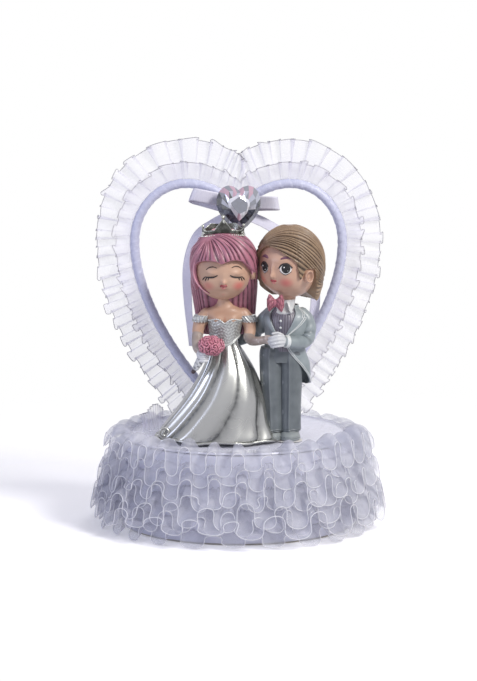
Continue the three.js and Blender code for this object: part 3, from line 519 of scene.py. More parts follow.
class Graph:
    """Adds nodes to a shader tree in a few words."""

    def __init__(self, tree: bpy.types.NodeTree) -> None:
        """Takes the tree to add to."""
        self.tree = tree

    @classmethod
    def of(cls, owner: bpy.types.ID) -> "Graph":
        """The emptied shader tree of a material or a world.

        Args:
            owner: The material or world.

        Returns:
            A graph to fill in.
        """
        owner.use_nodes = True
        owner.node_tree.nodes.clear()
        return cls(owner.node_tree)

    def add(self, kind: str, inputs: Optional[dict] = None, **settings: object) -> bpy.types.Node:
        """Adds a node.

        Args:
            kind: The node's type, without its prefix.
            inputs: For each socket's name or index, a value or another node's output.
            settings: The node's own settings.

        Returns:
            The new node.
        """
        node = self.tree.nodes.new(kind if kind.startswith("Node") else "ShaderNode" + kind)
        for name, value in settings.items():
            setattr(node, name, value)
        self.feed(node, inputs or {})
        return node

    def feed(self, node: bpy.types.Node, inputs: dict) -> None:
        """Sets or links a node's input sockets.

        Args:
            node: The node.
            inputs: For each socket's name or index, a value or another node's output.
        """
        for socket, value in inputs.items():
            if isinstance(value, bpy.types.NodeSocket):
                self.tree.links.new(value, node.inputs[socket])
            else:
                node.inputs[socket].default_value = value

    def math(self, operation: str, *values: object) -> bpy.types.NodeSocket:
        """One sum of one to three values."""
        return self.add("Math", dict(enumerate(values)), operation=operation).outputs[0]

    def mix(self, share: object, a: object, b: object) -> bpy.types.NodeSocket:
        """One colour mixed into another."""
        return self.add("Mix", {0: share, 6: a, 7: b}, data_type="RGBA").outputs[2]

    def spread(self, value: object, low: float, high: float, to: tuple = (0.0, 1.0)) -> bpy.types.NodeSocket:
        """A value moved from one range to another, kept inside it."""
        sockets = {0: value, 1: low, 2: high, 3: to[0], 4: to[1]}
        return self.add("MapRange", sockets).outputs[0]


def new_group(
    name: str, inputs: dict[str, float], outputs: Sequence[str]
) -> tuple[Graph, dict, bpy.types.Node]:
    """Starts a shader node group.

    Args:
        name: Its name.
        inputs: Its value inputs and what they start at.
        outputs: Its outputs' names.

    Returns:
        A graph to fill in, its inputs by name, and the node that takes its outputs.
    """
    tree = bpy.data.node_groups.new(name, "ShaderNodeTree")
    for label, value in inputs.items():
        socket = tree.interface.new_socket(label, in_out="INPUT", socket_type="NodeSocketFloat")
        socket.default_value = value
    for label in outputs:
        tree.interface.new_socket(label, in_out="OUTPUT", socket_type="NodeSocketFloat")
    graph = Graph(tree)
    start = graph.add("NodeGroupInput")
    end = graph.add("NodeGroupOutput")
    return graph, {s.name: s for s in start.outputs}, end


class Effects:
    """Shader node groups that several finishes share, each built once."""

    made: dict[str, bpy.types.NodeTree] = {}

    @classmethod
    def use(cls, graph: Graph, name: str, inputs: dict) -> bpy.types.Node:
        """Places a group in a material.

        Args:
            graph: The material's graph.
            name: The effect's name, which is also the method that builds it.
            inputs: The group's own values there.

        Returns:
            The group's node.
        """
        if name not in cls.made:
            cls.made[name] = getattr(cls, name)()
        return graph.add("Group", inputs, node_tree=cls.made[name])

    @staticmethod
    def mottle() -> bpy.types.NodeTree:
        """Uneven brushed paint: patches, fine grain and their height.

        Returns:
            The group's tree.
        """
        inputs = {"Patches per metre": 150.0, "Grain per metre": 1800.0}
        graph, given, out = new_group("Brushed paint", inputs, ["Patches", "Grain", "Height"])
        place = graph.add("TexCoord").outputs["Object"]
        patches = graph.add("TexNoise", {"Vector": place, "Scale": given["Patches per metre"], "Detail": 3.0})
        grain = graph.add("TexNoise", {"Vector": place, "Scale": given["Grain per metre"], "Detail": 2.0})
        both = graph.math("MULTIPLY_ADD", patches.outputs[0], 0.5, grain.outputs[0])
        spread = [graph.spread(noise.outputs[0], 0.3, 0.7) for noise in (patches, grain)]
        graph.feed(out, {"Patches": spread[0], "Grain": spread[1], "Height": both})
        return graph.tree

    @staticmethod
    def weave() -> bpy.types.NodeTree:
        """Crossed threads with slubs: where thread covers, how high it stands, and its sheen lines.

        Returns:
            The group's tree.
        """
        graph, given, out = new_group("Weave", {"Threads per metre": 3200.0}, ["Thread", "Height", "Slub"])
        place = graph.add("UVMap", uv_map="cloth").outputs[0]
        axes = graph.add("SeparateXYZ", {0: place})
        waves = []
        for axis in (0, 1):
            turn = graph.math("MULTIPLY", axes.outputs[axis], given["Threads per metre"])
            wave = graph.math("SINE", graph.math("MULTIPLY", turn, math.pi))
            waves.append(graph.math("ABSOLUTE", wave))
        thread = graph.math("MAXIMUM", waves[0], waves[1])
        stretched = graph.add("Mapping", {"Vector": place, "Scale": (300.0, 9000.0, 1.0)})
        slub = graph.add("TexNoise", {"Vector": stretched.outputs[0], "Scale": 1.0, "Detail": 2.0})
        cover, lines = graph.spread(thread, 0.55, 0.95), graph.spread(slub.outputs[0], 0.35, 0.65)
        graph.feed(out, {"Thread": cover, "Height": thread, "Slub": lines})
        return graph.tree

    @staticmethod
    def recess() -> bpy.types.NodeTree:
        """Where thin dark wash settles, partly real wash and partly painted shade: the carved grooves, broken
        up; and the sharp edges, lightened partly as dry brushing and partly as painted highlight.

        Returns:
            The group's tree.
        """
        graph, given, out = new_group("Recess wash", {"Reach": 1.0, "Edge highlight": 0.5}, ["Wash", "Edge highlight"])
        depth = graph.add("Attribute", attribute_name="groove").outputs["Fac"]
        place = graph.add("TexCoord").outputs["Object"]
        noise = graph.add("TexNoise", {"Vector": place, "Scale": 420.0, "Detail": 3.0}).outputs[0]
        broken = graph.math("MULTIPLY", depth, graph.spread(noise, 0.25, 0.6, (0.55, 1.0)))
        # Sharp edges, found by pointiness, take the lighter colour: dry brushing and painted highlight.
        edge = graph.spread(graph.add("NewGeometry").outputs["Pointiness"], 0.51, 0.58)
        wash = graph.math("MULTIPLY", broken, given["Reach"])
        graph.feed(out, {"Wash": wash, "Edge highlight": graph.math("MULTIPLY", edge, given["Edge highlight"])})
        return graph.tree


class Finish:
    """A finish that makes its material once."""

    made: dict[str, bpy.types.Material] = {}
    name: str
    slot: Optional[Slot]

    def material(self) -> bpy.types.Material:
        """The finish's material.

        Returns:
            The material, made on first use.
        """
        if self.name not in Finish.made:
            made = bpy.data.materials.new(self.name)
            graph = Graph.of(made)
            shader = self.shade(graph)
            graph.add("OutputMaterial", {"Surface": shader.outputs[0]})
            Finish.made[self.name] = made
        return Finish.made[self.name]

    def shade(self, graph: Graph) -> bpy.types.Node:
        """Builds the finish's nodes and returns its shader."""
        raise NotImplementedError


@dataclass(frozen=True)
class Spot:
    """A soft spot of colour painted on, such as blush, a lip, a painted shadow or a painted highlight."""

    centre: Place
    size: Place
    color: str
    strength: float = 1.0
    softness: float = 1.0


@dataclass(frozen=True)
class Paint(Finish):
    """Paint on cast resin, with dark wash in its recesses, partly real wash and partly painted shade, and
    lighter edges, partly dry brushing and partly painted highlight.
    """

    name: str
    slot: Optional[Slot]
    color: str
    # wash darkens the carving, partly as real wash and partly as painted shade.
    wash: str
    # light colours random patches and the edges' painted highlight.
    light: str
    roughness: float = 0.42
    metallic: float = 0.0
    mottle: float = 0.25
    wash_reach: float = 1.0
    # edge is how strongly the edges take the painted highlight.
    edge: float = 0.35
    grain: float = 1800.0
    bump: float = 0.12
    coat: float = 0.0
    spots: tuple[Spot, ...] = ()

    def shade(self, graph: Graph) -> bpy.types.Node:
        """Mixes base colour, patches, spots, the wash with its painted shade and the painted edge highlights
        into one painted surface.

        Args:
            graph: The material's graph.

        Returns:
            The shader's node.
        """
        brushed = Effects.use(graph, "mottle", {"Grain per metre": self.grain})
        recess = Effects.use(graph, "recess", {"Reach": self.wash_reach, "Edge highlight": self.edge})
        patches = graph.math("MULTIPLY", brushed.outputs["Patches"], self.mottle)
        color = graph.mix(patches, srgb(self.color), srgb(self.light))
        place = graph.add("TexCoord").outputs["Object"]
        for spot in self.spots:
            centre = tuple(c * MM for c in spot.centre)
            size = tuple(1 / (s * MM) for s in spot.size)
            offset = graph.add("VectorMath", {0: place, 1: centre}, operation="SUBTRACT").outputs[0]
            scaled = graph.add("VectorMath", {0: offset, 1: size}, operation="MULTIPLY").outputs[0]
            far = graph.add("VectorMath", {0: scaled}, operation="LENGTH").outputs["Value"]
            share = graph.spread(far, 1.0, 1.0 - spot.softness, (0.0, spot.strength))
            share.node.interpolation_type = "SMOOTHSTEP"
            color = graph.mix(share, color, srgb(spot.color))
        # The recess wash, partly painted shade, then the lighter edges, partly painted highlight.
        color = graph.mix(recess.outputs["Wash"], color, srgb(self.wash))
        color = graph.mix(recess.outputs["Edge highlight"], color, srgb(self.light))
        rough = graph.spread(
            brushed.outputs["Grain"], 0.0, 1.0, (self.roughness - 0.06, self.roughness + 0.08)
        )
        bump = graph.add(
            "Bump", {"Strength": self.bump, "Distance": 0.0003, "Height": brushed.outputs["Height"]}
        )
        sockets = {"Base Color": color, "Roughness": rough, "Metallic": self.metallic}
        sockets |= {"Normal": bump.outputs[0], "Coat Weight": self.coat, "Coat Roughness": 0.12}
        return graph.add("BsdfPrincipled", sockets)


@dataclass(frozen=True)
class Sheer(Finish):
    """Sheer organza: an open weave that lets light and what is behind it through."""

    name: str
    slot: Optional[Slot]
    color: str
    shade_color: str
    cover: float
    thread_cover: float = 0.12
    roughness: float = 0.55

    def shade(self, graph: Graph) -> bpy.types.Node:
        """Mixes the open weave's colour and how much of it covers.

        Args:
            graph: The material's graph.

        Returns:
            The shader's node.
        """
        weave = Effects.use(graph, "weave", {"Threads per metre": 2400.0})
        place = graph.add("TexCoord").outputs["Object"]
        cloud = graph.add("TexNoise", {"Vector": place, "Scale": 90.0, "Detail": 2.0}).outputs[0]
        color = graph.mix(graph.spread(cloud, 0.35, 0.7), srgb(self.color), srgb(self.shade_color))
        cover = graph.math("MULTIPLY_ADD", weave.outputs["Thread"], self.thread_cover, self.cover)
        cover = graph.math("MULTIPLY_ADD", weave.outputs["Slub"], 0.06, cover)
        bump = graph.add("Bump", {"Strength": 0.15, "Distance": 0.0001, "Height": weave.outputs["Height"]})
        sockets = {"Base Color": color, "Roughness": self.roughness, "Alpha": cover}
        sockets |= {"Normal": bump.outputs[0], "Sheen Weight": 0.25, "Sheen Roughness": 0.4}
        return graph.add("BsdfPrincipled", sockets)


@dataclass(frozen=True)
class Satin(Finish):
    """Woven satin ribbon, glossy across its threads."""

    name: str
    slot: Optional[Slot]
    color: str
    shade_color: str
    roughness: float = 0.34
    cover: float = 1.0
    sheen: float = 0.3

    def shade(self, graph: Graph) -> bpy.types.Node:
        """Mixes two close colours by slubs and gives the weave its height.

        Args:
            graph: The material's graph.

        Returns:
            The shader's node.
        """
        weave = Effects.use(graph, "weave", {"Threads per metre": 3600.0})
        brushed = Effects.use(graph, "mottle", {"Patches per metre": 60.0})
        color = graph.mix(weave.outputs["Slub"], srgb(self.color), srgb(self.shade_color))
        color = graph.mix(
            graph.math("MULTIPLY", brushed.outputs["Patches"], 0.3), color, srgb(self.shade_color)
        )
        rough = graph.spread(weave.outputs["Slub"], 0.0, 1.0, (self.roughness - 0.05, self.roughness + 0.1))
        bump = graph.add("Bump", {"Strength": 0.25, "Distance": 0.0001, "Height": weave.outputs["Height"]})
        sockets = {"Base Color": color, "Roughness": rough, "Alpha": self.cover}
        sockets |= {"Normal": bump.outputs[0], "Sheen Weight": self.sheen, "Sheen Roughness": 0.35}
        return graph.add("BsdfPrincipled", sockets)


@dataclass(frozen=True)
class Line(Finish):
    """Clear nylon line in a rolled hem, or a plain glossy or matt stroke."""

    name: str
    slot: Optional[Slot]
    color: str
    roughness: float = 0.3
    cover: float = 1.0
    lift: float = 0.02

    def shade(self, graph: Graph) -> bpy.types.Node:
        """A near plain surface with a little unevenness along it.

        Args:
            graph: The material's graph.

        Returns:
            The shader's node.
        """
        brushed = Effects.use(graph, "mottle", {"Patches per metre": 300.0})
        share = graph.math("MULTIPLY", brushed.outputs["Patches"], self.lift)
        color = graph.mix(share, srgb(self.color), (1.0, 1.0, 1.0, 1.0))
        rough = graph.spread(brushed.outputs["Grain"], 0.0, 1.0, (self.roughness, self.roughness + 0.12))
        sockets = {"Base Color": color, "Roughness": rough, "Alpha": self.cover}
        return graph.add("BsdfPrincipled", sockets)


class Finishes:
    """Every finish on the topper."""

    # The drum's organza, the same cloth as the arch's, painted darker as painted shade.
    ORGANZA_BASE_SHADED = Sheer("organza_base_shaded", Slot.ORGANZA, "D0D1DC", "B6B8C7", 0.27)
    ORGANZA_ARCH = Sheer("organza_arch", Slot.ORGANZA, "F4F3FA", "E4E2F3", 0.25)
    # One clear nylon line in two colours: lighter in the drum's hems as painted light, darker on the arch as
    # painted shade.
    HEM_LINE_LIT = Line("hem_line_lit", Slot.ORGANZA, "E3E3EA", 0.25, 0.8, 0.3)
    ARCH_LINE_SHADED = Line("arch_hem_line_shaded", Slot.ORGANZA, "A9A7AE", 0.3, 0.8, 0.2)
    SATIN = Satin("satin_ribbon", Slot.SATIN, "E2E1EC", "CCCADB", 0.34)
    TAIL_SATIN = Satin("satin_tail", Slot.SATIN, "E2E0F0", "D3D1E6", 0.4, 0.72)
    TUBE = Satin("satin_wrap", Slot.TUBE, "D2D4E8", "B8BBD4", 0.34)
    COVER = Satin("satin_cover", Slot.SATIN, "E4E5F0", "D4D5E6", 0.24)
    HAIR_PINK = Paint("pink_hair", Slot.PINK_HAIR, "A1667A", "44202C", "D2949F", 0.36, mottle=0.35)
    # A lighter copy of the pink hair paint, for raised strands and lock edges: painted highlight.
    HAIR_HIGHLIGHT = Paint("pink_hair_highlight", Slot.PINK_HAIR, "D592A2", "8A4A5E", "EDBCC6", 0.34, mottle=0.3)
    HAIR_BROWN = Paint("brown_hair", Slot.BROWN_HAIR, "866C54", "22160F", "BCA488", 0.38, mottle=0.35)
    SILVER = Paint(
        "tiara_silver", Slot.TIARA, "85867A", "20211D", "DDDFD8", 0.28, 0.8, edge=0.7, mottle=0.5
    )
    # Its near black wash is painted shade in the skirt's fold valleys.
    GOWN = Paint(
        "gown_pearl", Slot.GOWN, "ABACA8", "202426", "CDD0D0", 0.25, 0.75, mottle=0.03, edge=0.0, grain=60.0,
        bump=0.0, coat=0.3
    )
    LACE = Paint("lace_silver", Slot.LACE, "A6A8A6", "625E60", "DDE0DE", 0.34, 0.45, mottle=0.35, edge=0.6)
    GLOVE = Paint("sheer_glove", Slot.LACE, "94847B", "453A38", "D0CBC8", 0.34, 0.2, mottle=0.4, edge=0.6)
    WHITE = Paint("white_paint", Slot.WHITE, "C6C8CA", "6D6F72", "F2F4F5", 0.38, mottle=0.2)
    PIPING = Paint("piping_paint", Slot.SUIT, "CDD1D1", "8A8F90", "EEF1F1", 0.4)
    SUIT = Paint("suit_paint", Slot.SUIT, "7F898D", "2F363A", "B4BCC0", 0.36, mottle=0.3, edge=0.6)
    TROUSERS = Paint("trouser_paint", Slot.SUIT, "565D61", "1F2326", "8F9598", 0.38, mottle=0.3, edge=0.6)
    VEST = Paint("vest_paint", Slot.VEST, "6E6A76", "2E2A31", "A29EA8", 0.4, mottle=0.3)
    ROSE = Paint("rose_paint", Slot.ROSE, "9C3B54", "2C0710", "E7A3B4", 0.34, mottle=0.6, edge=0.85)
    TIE = Paint("tie_paint", Slot.ROSE, "98505F", "431823", "CF8E9C", 0.42, mottle=0.4, edge=0.6)
    BRIDE_SKIN = Paint(
        "bride_skin", Slot.SKIN, "BC9882", "5F3A2E", "D8B9A0", 0.44, mottle=0.3, edge=0.15, bump=0.05,
        spots=(
            Spot((-14.6, -33.0, 120.6), (4.4, 6.0, 3.4), "C4736A", 0.7, 0.9),
            Spot((0.4, -33.0, 120.6), (4.6, 6.0, 3.6), "C96F66", 0.9, 0.9),
            # Painted highlight on the nose.
            Spot((-7.0, -36.5, 123.0), (1.5, 3.0, 1.1), "D09A84", 0.5, 0.9),
            Spot((-7.1, -33.0, 116.4), (1.8, 4.0, 1.1), "C4736A", 0.5, 0.9),
            # Painted shade on the forehead, under the fringe.
            Spot((-12.8, -33.5, 132.6), (6.0, 6.0, 2.6), "8A6A58", 0.4, 1.0),
            Spot((-0.5, -33.5, 132.6), (6.0, 6.0, 2.6), "8A6A58", 0.4, 1.0),
            # Painted shade in the cleft of the neckline and over the upper chest, under the head.
            Spot((-6.5, -27.4, 103.4), (1.0, 3.0, 2.6), "A9694F", 0.55, 0.9),
            Spot((-6.5, -24.0, 106.4), (13.0, 9.0, 5.5), "8F6853", 0.55, 0.9),
        ),
    )
    GROOM_SKIN = Paint(
        "groom_skin", Slot.SKIN, "BF9882", "65403A", "DAB9A4", 0.36, mottle=0.3, edge=0.15, bump=0.05,
        spots=(
            Spot((22.6, -34.0, 122.6), (4.8, 5.0, 3.4), "C86F66", 0.9, 0.9),
            Spot((10.6, -27.0, 122.9), (4.6, 4.4, 3.2), "C86F66", 0.75, 0.9),
            # Painted shade on the forehead, under the hair.
            Spot((16.6, -35.0, 137.4), (9.0, 9.0, 2.8), "84645A", 0.5, 1.0),
        ),
    )
    WHITE_GLOVE = Paint("white_glove", Slot.WHITE, "BABCC0", "36393F", "EDEEF1", 0.34, mottle=0.25, edge=0.7)
    STEM = Paint("stem_paint", Slot.ROSE, "2C2228", "140D10", "6B4A50", 0.4)
    SHOE = Paint("shoe_paint", Slot.SUIT, "858B8C", "42474B", "A9AFAE", 0.36, mottle=0.2)
    LASH = Line("lash_line", Slot.SKIN, "1C0F0C", 0.5)
    BROW = Line("brow_line", Slot.SKIN, "3A241B", 0.5)
    GROOM_BROW = Line("groom_brow_line", Slot.SKIN, "6E4658", 0.5)
    LIPS = Line("lip_paint", Slot.SKIN, "9C3438", 0.3, lift=0.1)
    # The lower lip is painted lighter than the upper: lip paint with a painted highlight.
    LOWER_LIP = Line("lower_lip_paint_and_highlight", Slot.SKIN, "CC8078", 0.3, lift=0.1)
    EYE_WHITE = Line("eye_white", Slot.SKIN, "E9E4E0", 0.25)
    IRIS = Line("iris_paint", Slot.SKIN, "070505", 0.6, lift=0.0)
    IRIS_RIM = Line("iris_rim", Slot.SKIN, "222A26", 0.6, lift=0.0)
    GLINT = Line("eye_glint", Slot.SKIN, "FFFFFF", 0.2)


def dress(piece: bpy.types.Object, finish: Finish, *nodes: str) -> None:
    """Gives a piece its finish, its body and the nodes that it stands for.

    Args:
        piece: The new mesh object.
        finish: Its finish.
        nodes: The CAD nodes that it replaces.
    """
    piece.data.materials.append(finish.material())
    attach(piece, BODY)
    if nodes:
        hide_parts(*nodes)
    LOG.info("%s: %d points", piece.name, len(piece.data.vertices))


def part(name: str, surfaces: Sequence[Surface], finish: Finish, *nodes: str) -> bpy.types.Object:
    """Builds a piece of several surfaces and dresses it.

    Args:
        name: Its name.
        surfaces: Its surfaces, in millimetres.
        finish: Its finish.
        nodes: The CAD nodes that it replaces.

    Returns:
        The new piece.
    """
    piece = build(name, surfaces)
    dress(piece, finish, *nodes)
    return piece


def leaf(
    name: str, surface: Surface, thickness: float, offset: float, finish: Finish, *nodes: str
) -> None:
    """Builds and dresses a piece of thin cloth that a modifier makes thick.

    Args:
        name: Its name.
        surface: Its surface, in millimetres.
        thickness: Its thickness in millimetres.
        offset: 0 to grow to both sides of the surface, or 1 or -1 for one side.
        finish: Its finish.
        nodes: The CAD nodes that it replaces.
    """
    piece = build(name, [surface])
    solid = piece.modifiers.new("thickness", "SOLIDIFY")
    solid.thickness = thickness * MM
    solid.offset = offset
    dress(piece, finish, *nodes)


def cast(
    name: str, surfaces: Sequence[Surface], voxel: float, smoothing: int, finish: Finish, *nodes: str
) -> None:
    """Builds and dresses a piece whose surfaces melt into one skin, as in a casting.

    Args:
        name: Its name.
        surfaces: Its surfaces, in millimetres.
        voxel: How finely they are melted, in millimetres.
        smoothing: How often the skin is smoothed.
        finish: Its finish.
        nodes: The CAD nodes that it replaces.
    """
    piece = build(name, surfaces)
    remesh = piece.modifiers.new("melt", "REMESH")
    remesh.mode = "VOXEL"
    remesh.voxel_size = voxel * MM
    remesh.use_smooth_shade = True
    soften = piece.modifiers.new("soften", "SMOOTH")
    soften.iterations = smoothing
    soften.factor = 0.5
    dress(piece, finish, *nodes)


def hemmed(
    name: str, surface: Surface, radius: float, finish: Finish, line_finish: Finish, *nodes: str
) -> list[bpy.types.Object]:
    """A strip of cloth with a line in its hem.

    Args:
        name: The strip's name.
        surface: Its surface, whose last row is the hem.
        radius: The line's radius.
        finish: The cloth's finish.
        line_finish: The line's finish.
        nodes: The CAD nodes that the cloth replaces.

    Returns:
        The cloth and its line.
    """
    hem = sweep(surface.points[-1], radius, 6, closed=surface.closed)
    cloth = part(name, [surface], finish, *nodes)
    return [cloth, part(name + "_line", [hem], line_finish)]


def declare(
    piece: bpy.types.Object,
    width: float,
    length: float,
    hold: Hold,
) -> None:
    """Logs a sheet of cloth's flat cut in millimetres.

    Args:
        piece: The cloth.
        width: Its width across the strip.
        length: Its length before it is gathered.
        hold: How it is held; not used.
    """
    LOG.info("%s: cut %.0f by %.0f mm", piece.name, width, length)


@dataclass
class Drum:
    """The drum under everything: its satin disc, its side band, and the parts kept from the frame."""

    radius: float = 56.0
    disc_foot: float = 43.3
    disc_top: float = 44.3
    band_foot: float = 1.0
    band_top: float = 43.0
    band_radius: float = 56.75
    edge_round: float = 0.8

    def cover(self) -> None:
        """Satin drawn over the disc, with faint pulls towards its edge."""
        r, e, top = self.radius, self.edge_round, self.disc_top
        rim = [
            (r - e + e * math.sin(a), top - e + e * math.cos(a)) for a in np.linspace(0, math.pi / 2, 7)
        ]
        profile = [(k, top) for k in np.linspace(0.6, r - e - 0.6, 40)] + rim + [(r, self.disc_foot)]
        radius, z = np.array(profile).T[:, :, None]
        t = ring_angles(240)[None, :]
        pull = smooth((radius - 30) / 26) * 0.12 * (np.sin(41 * t) + wander(t, 5, 1.2))
        level = np.where(z > top - 0.01, z - 0.12 + pull * 0.7, z)
        points = np.stack([radius * np.cos(t), radius * np.sin(t), level + 0 * t], axis=-1)
        disc = Surface(points, caps=False, flip=True)
        piece = part("base_satin_cover", [disc], Finishes.COVER, "base_top_cover")

    def band(self) -> None:
        """The satin band round the side."""
        z = np.linspace(self.band_foot, self.band_top, 24)[:, None]
        t = ring_angles(240)[None, :]
        radius = self.band_radius + 0.1 * wander(t, 9) * np.sin(z / 6)
        points = np.stack([radius * np.cos(t), radius * np.sin(t), z + 0 * t], axis=-1)
        piece = part("base_satin_band", [Surface(points, caps=False)], Finishes.COVER, "base_side_wrap")
        tall = self.band_top - self.band_foot
        declare(piece, tall, TURN * self.band_radius, Hold.STRETCHED)

    def kept(self) -> None:
        """Finishes for the parts that come over from the frame as they are."""
        foam = Paint("foam_block", None, "E4E4E8", "C9C9D0", "F2F2F5", 0.85, mottle=0.4, grain=900, bump=0.6)
        card = Paint("grey_card", None, "BDB9B0", "8E8A82", "D2CEC6", 0.9, mottle=0.4, grain=2600, bump=0.3)
        glue = Paint("craft_glue", None, "CBC9C4", "A4A29C", "E0DED8", 0.3, mottle=0.3)
        foil = Paint("gem_foil_plate", None, "A4A6AE", "55575E", "E6E8EE", 0.2, 0.9)
        kept = {
            "base_drum": foam,
            "base_bottom_card": card,
            "glue_pad_bride": glue,
            "glue_pad_groom": glue,
            "gem_foil_back": foil,
        }
        for name, finish in kept.items():
            node = frame["nodes"][name]
            node.data.materials.clear()
            node.data.materials.append(finish.material())

    def make(self) -> None:
        """Builds the drum's cloth and finishes its kept parts."""
        self.cover()
        self.band()
        self.kept()


@dataclass
class GatheredLayer:
    """One strip of organza gathered onto the drum, with a nylon line rolled into its hem.

    path holds rows of radius, height and share of the wave, from the heading to the hem. sink says,
    from 0 to 1, how much flatter the strip lies at the back. lowest is how near it comes to the
    table, and hem_share is its cut length as a share of its hem.
    """

    name: str
    path: Sequence[Place]
    waves: int
    height: float
    phase: float
    seed: int
    node: Optional[str] = None
    rests_on: str = "base_satin_band"
    fold_over: float = 0.62
    rows: int = 12
    steps: int = 28
    line: float = 0.18
    sink: float = 0.0
    lowest: float = 0.35
    hem_share: float = 0.84

    def grid(self) -> Array:
        """The strip's points, from the heading out to the waving hem.

        Returns:
            Rows of points, from the heading to the hem.
        """
        t = ring_angles(self.waves * self.steps)[None, :]
        v = np.linspace(0, 1, self.rows)[:, None]
        radius, z, share = spline(self.path, self.rows).T[:, :, None]
        turn = self.waves * t + self.phase + 2.6 * wander(t, self.seed)
        back = self.sink * smooth((np.sin(t) + 0.3) / 0.7)
        slow = np.sin((self.waves // 2) * t + self.seed)
        size = self.height * (0.94 + 0.5 * wander(2 * t, self.seed + 1) + 0.16 * slow) * (1 - 0.5 * back)
        wave = np.sin(turn)
        angle = t - self.fold_over * share * np.sin(2 * turn) / self.waves
        angle = angle + share * (0.9 * wander(t * 3, self.seed + 2) + 0.3 * np.cos(turn)) / self.waves
        radius = radius + share * (1.3 * np.cos(turn + 0.8) + 1.6 * wander(2 * t, self.seed + 3))
        gather = 0.55 * np.sin(7 * turn + 2 * v) * (1 - smooth(v * 1.5)) + 0.12 * np.sin(3 * turn + 2 * v)
        level = z + share * (size * wave - 1.2 * back) + gather * (1 - 0.5 * self.sink)
        return np.stack([radius * np.cos(angle), radius * np.sin(angle), level], axis=-1)

    def make(self) -> None:
        """Builds the strip and its hem line."""
        points = self.grid()
        points[..., 2] = np.maximum(points[..., 2], self.lowest)
        strip = Surface(points, caps=False)
        nodes = [self.node] if self.node else []
        cloth, line = hemmed(
            self.name, strip, self.line, Finishes.ORGANZA_BASE_SHADED, Finishes.HEM_LINE_LIT, *nodes
        )
        round_hem = np.vstack([points[-1], points[-1][:1]])
        wide = float(np.linalg.norm(np.diff(points, axis=0), axis=-1).sum(axis=0).mean())
        long = length_of(round_hem) * self.hem_share
        declare(cloth, wide, long, Hold.GATHERED)


@dataclass
class BaseRuffles:
    """All the gathered strips round the drum, in four glued tiers of two strips each."""

    count: int = 4
    pitch: float = 10.4
    top_hem: float = 65.0
    bottom_hem: float = 72.5
    side: float = 57.1
    drop: float = 6.3
    waves: int = 23
    wave_height: float = 5.3
    lowest_hem: float = 11.4
    lowest_edge: float = 4.3

    def make(self) -> None:
        """Builds each tier's upper and lower strip."""
        for tier in range(self.count):
            share = tier / (self.count - 1)
            hem = self.top_hem + (self.bottom_hem - self.top_hem) * share
            z = 43.0 - self.pitch * tier
            if tier == 0:
                path = [
                    (51.4, 45.15, 0), (53.6, 45.6, 0.3), (57.4, 46.0, 0.72), (62.0, 44.4, 0.97),
                    (hem, 41.0, 1)
                ]
            else:
                low = max(z - self.drop, self.lowest_hem)
                path = [
                    (self.side, z, 0), (60.4, z + 0.5, 0.36), (hem - 3.4, (z + low) / 2 + 0.6, 0.78),
                    (hem, low, 1)
                ]
            GatheredLayer(
                name=f"base_ruffle_{tier + 1}_upper",
                path=path,
                waves=self.waves + (8, 6, 3, -1)[tier],
                height=self.wave_height * (1.0 if tier == self.count - 1 else 1.05),
                phase=1.7 * tier,
                seed=20 + tier,
                node=f"base_ruffle_{tier + 1}",
                rests_on="base_satin_cover" if tier == 0 else "base_satin_band",
                sink=1.0 if tier == 0 else 0.0,
            ).make()
            z -= self.pitch * 0.47
            low = max(z - self.drop * 0.8, self.lowest_edge)
            out = hem - (1.2 if tier < self.count - 1 else 5.4)
            GatheredLayer(
                name=f"base_ruffle_{tier + 1}_lower",
                path=[
                    (self.side, z, 0), (60.2, z + 0.4, 0.36), (out - 3.2, (z + low) / 2 + 0.5, 0.8),
                    (out, low, 1)
                ],
                waves=self.waves + (6, 4, 6, 2)[tier],
                height=self.wave_height * (0.95 if tier < self.count - 1 else 0.66),
                phase=2.3 * tier + 0.9,
                seed=60 + tier,
            ).make()


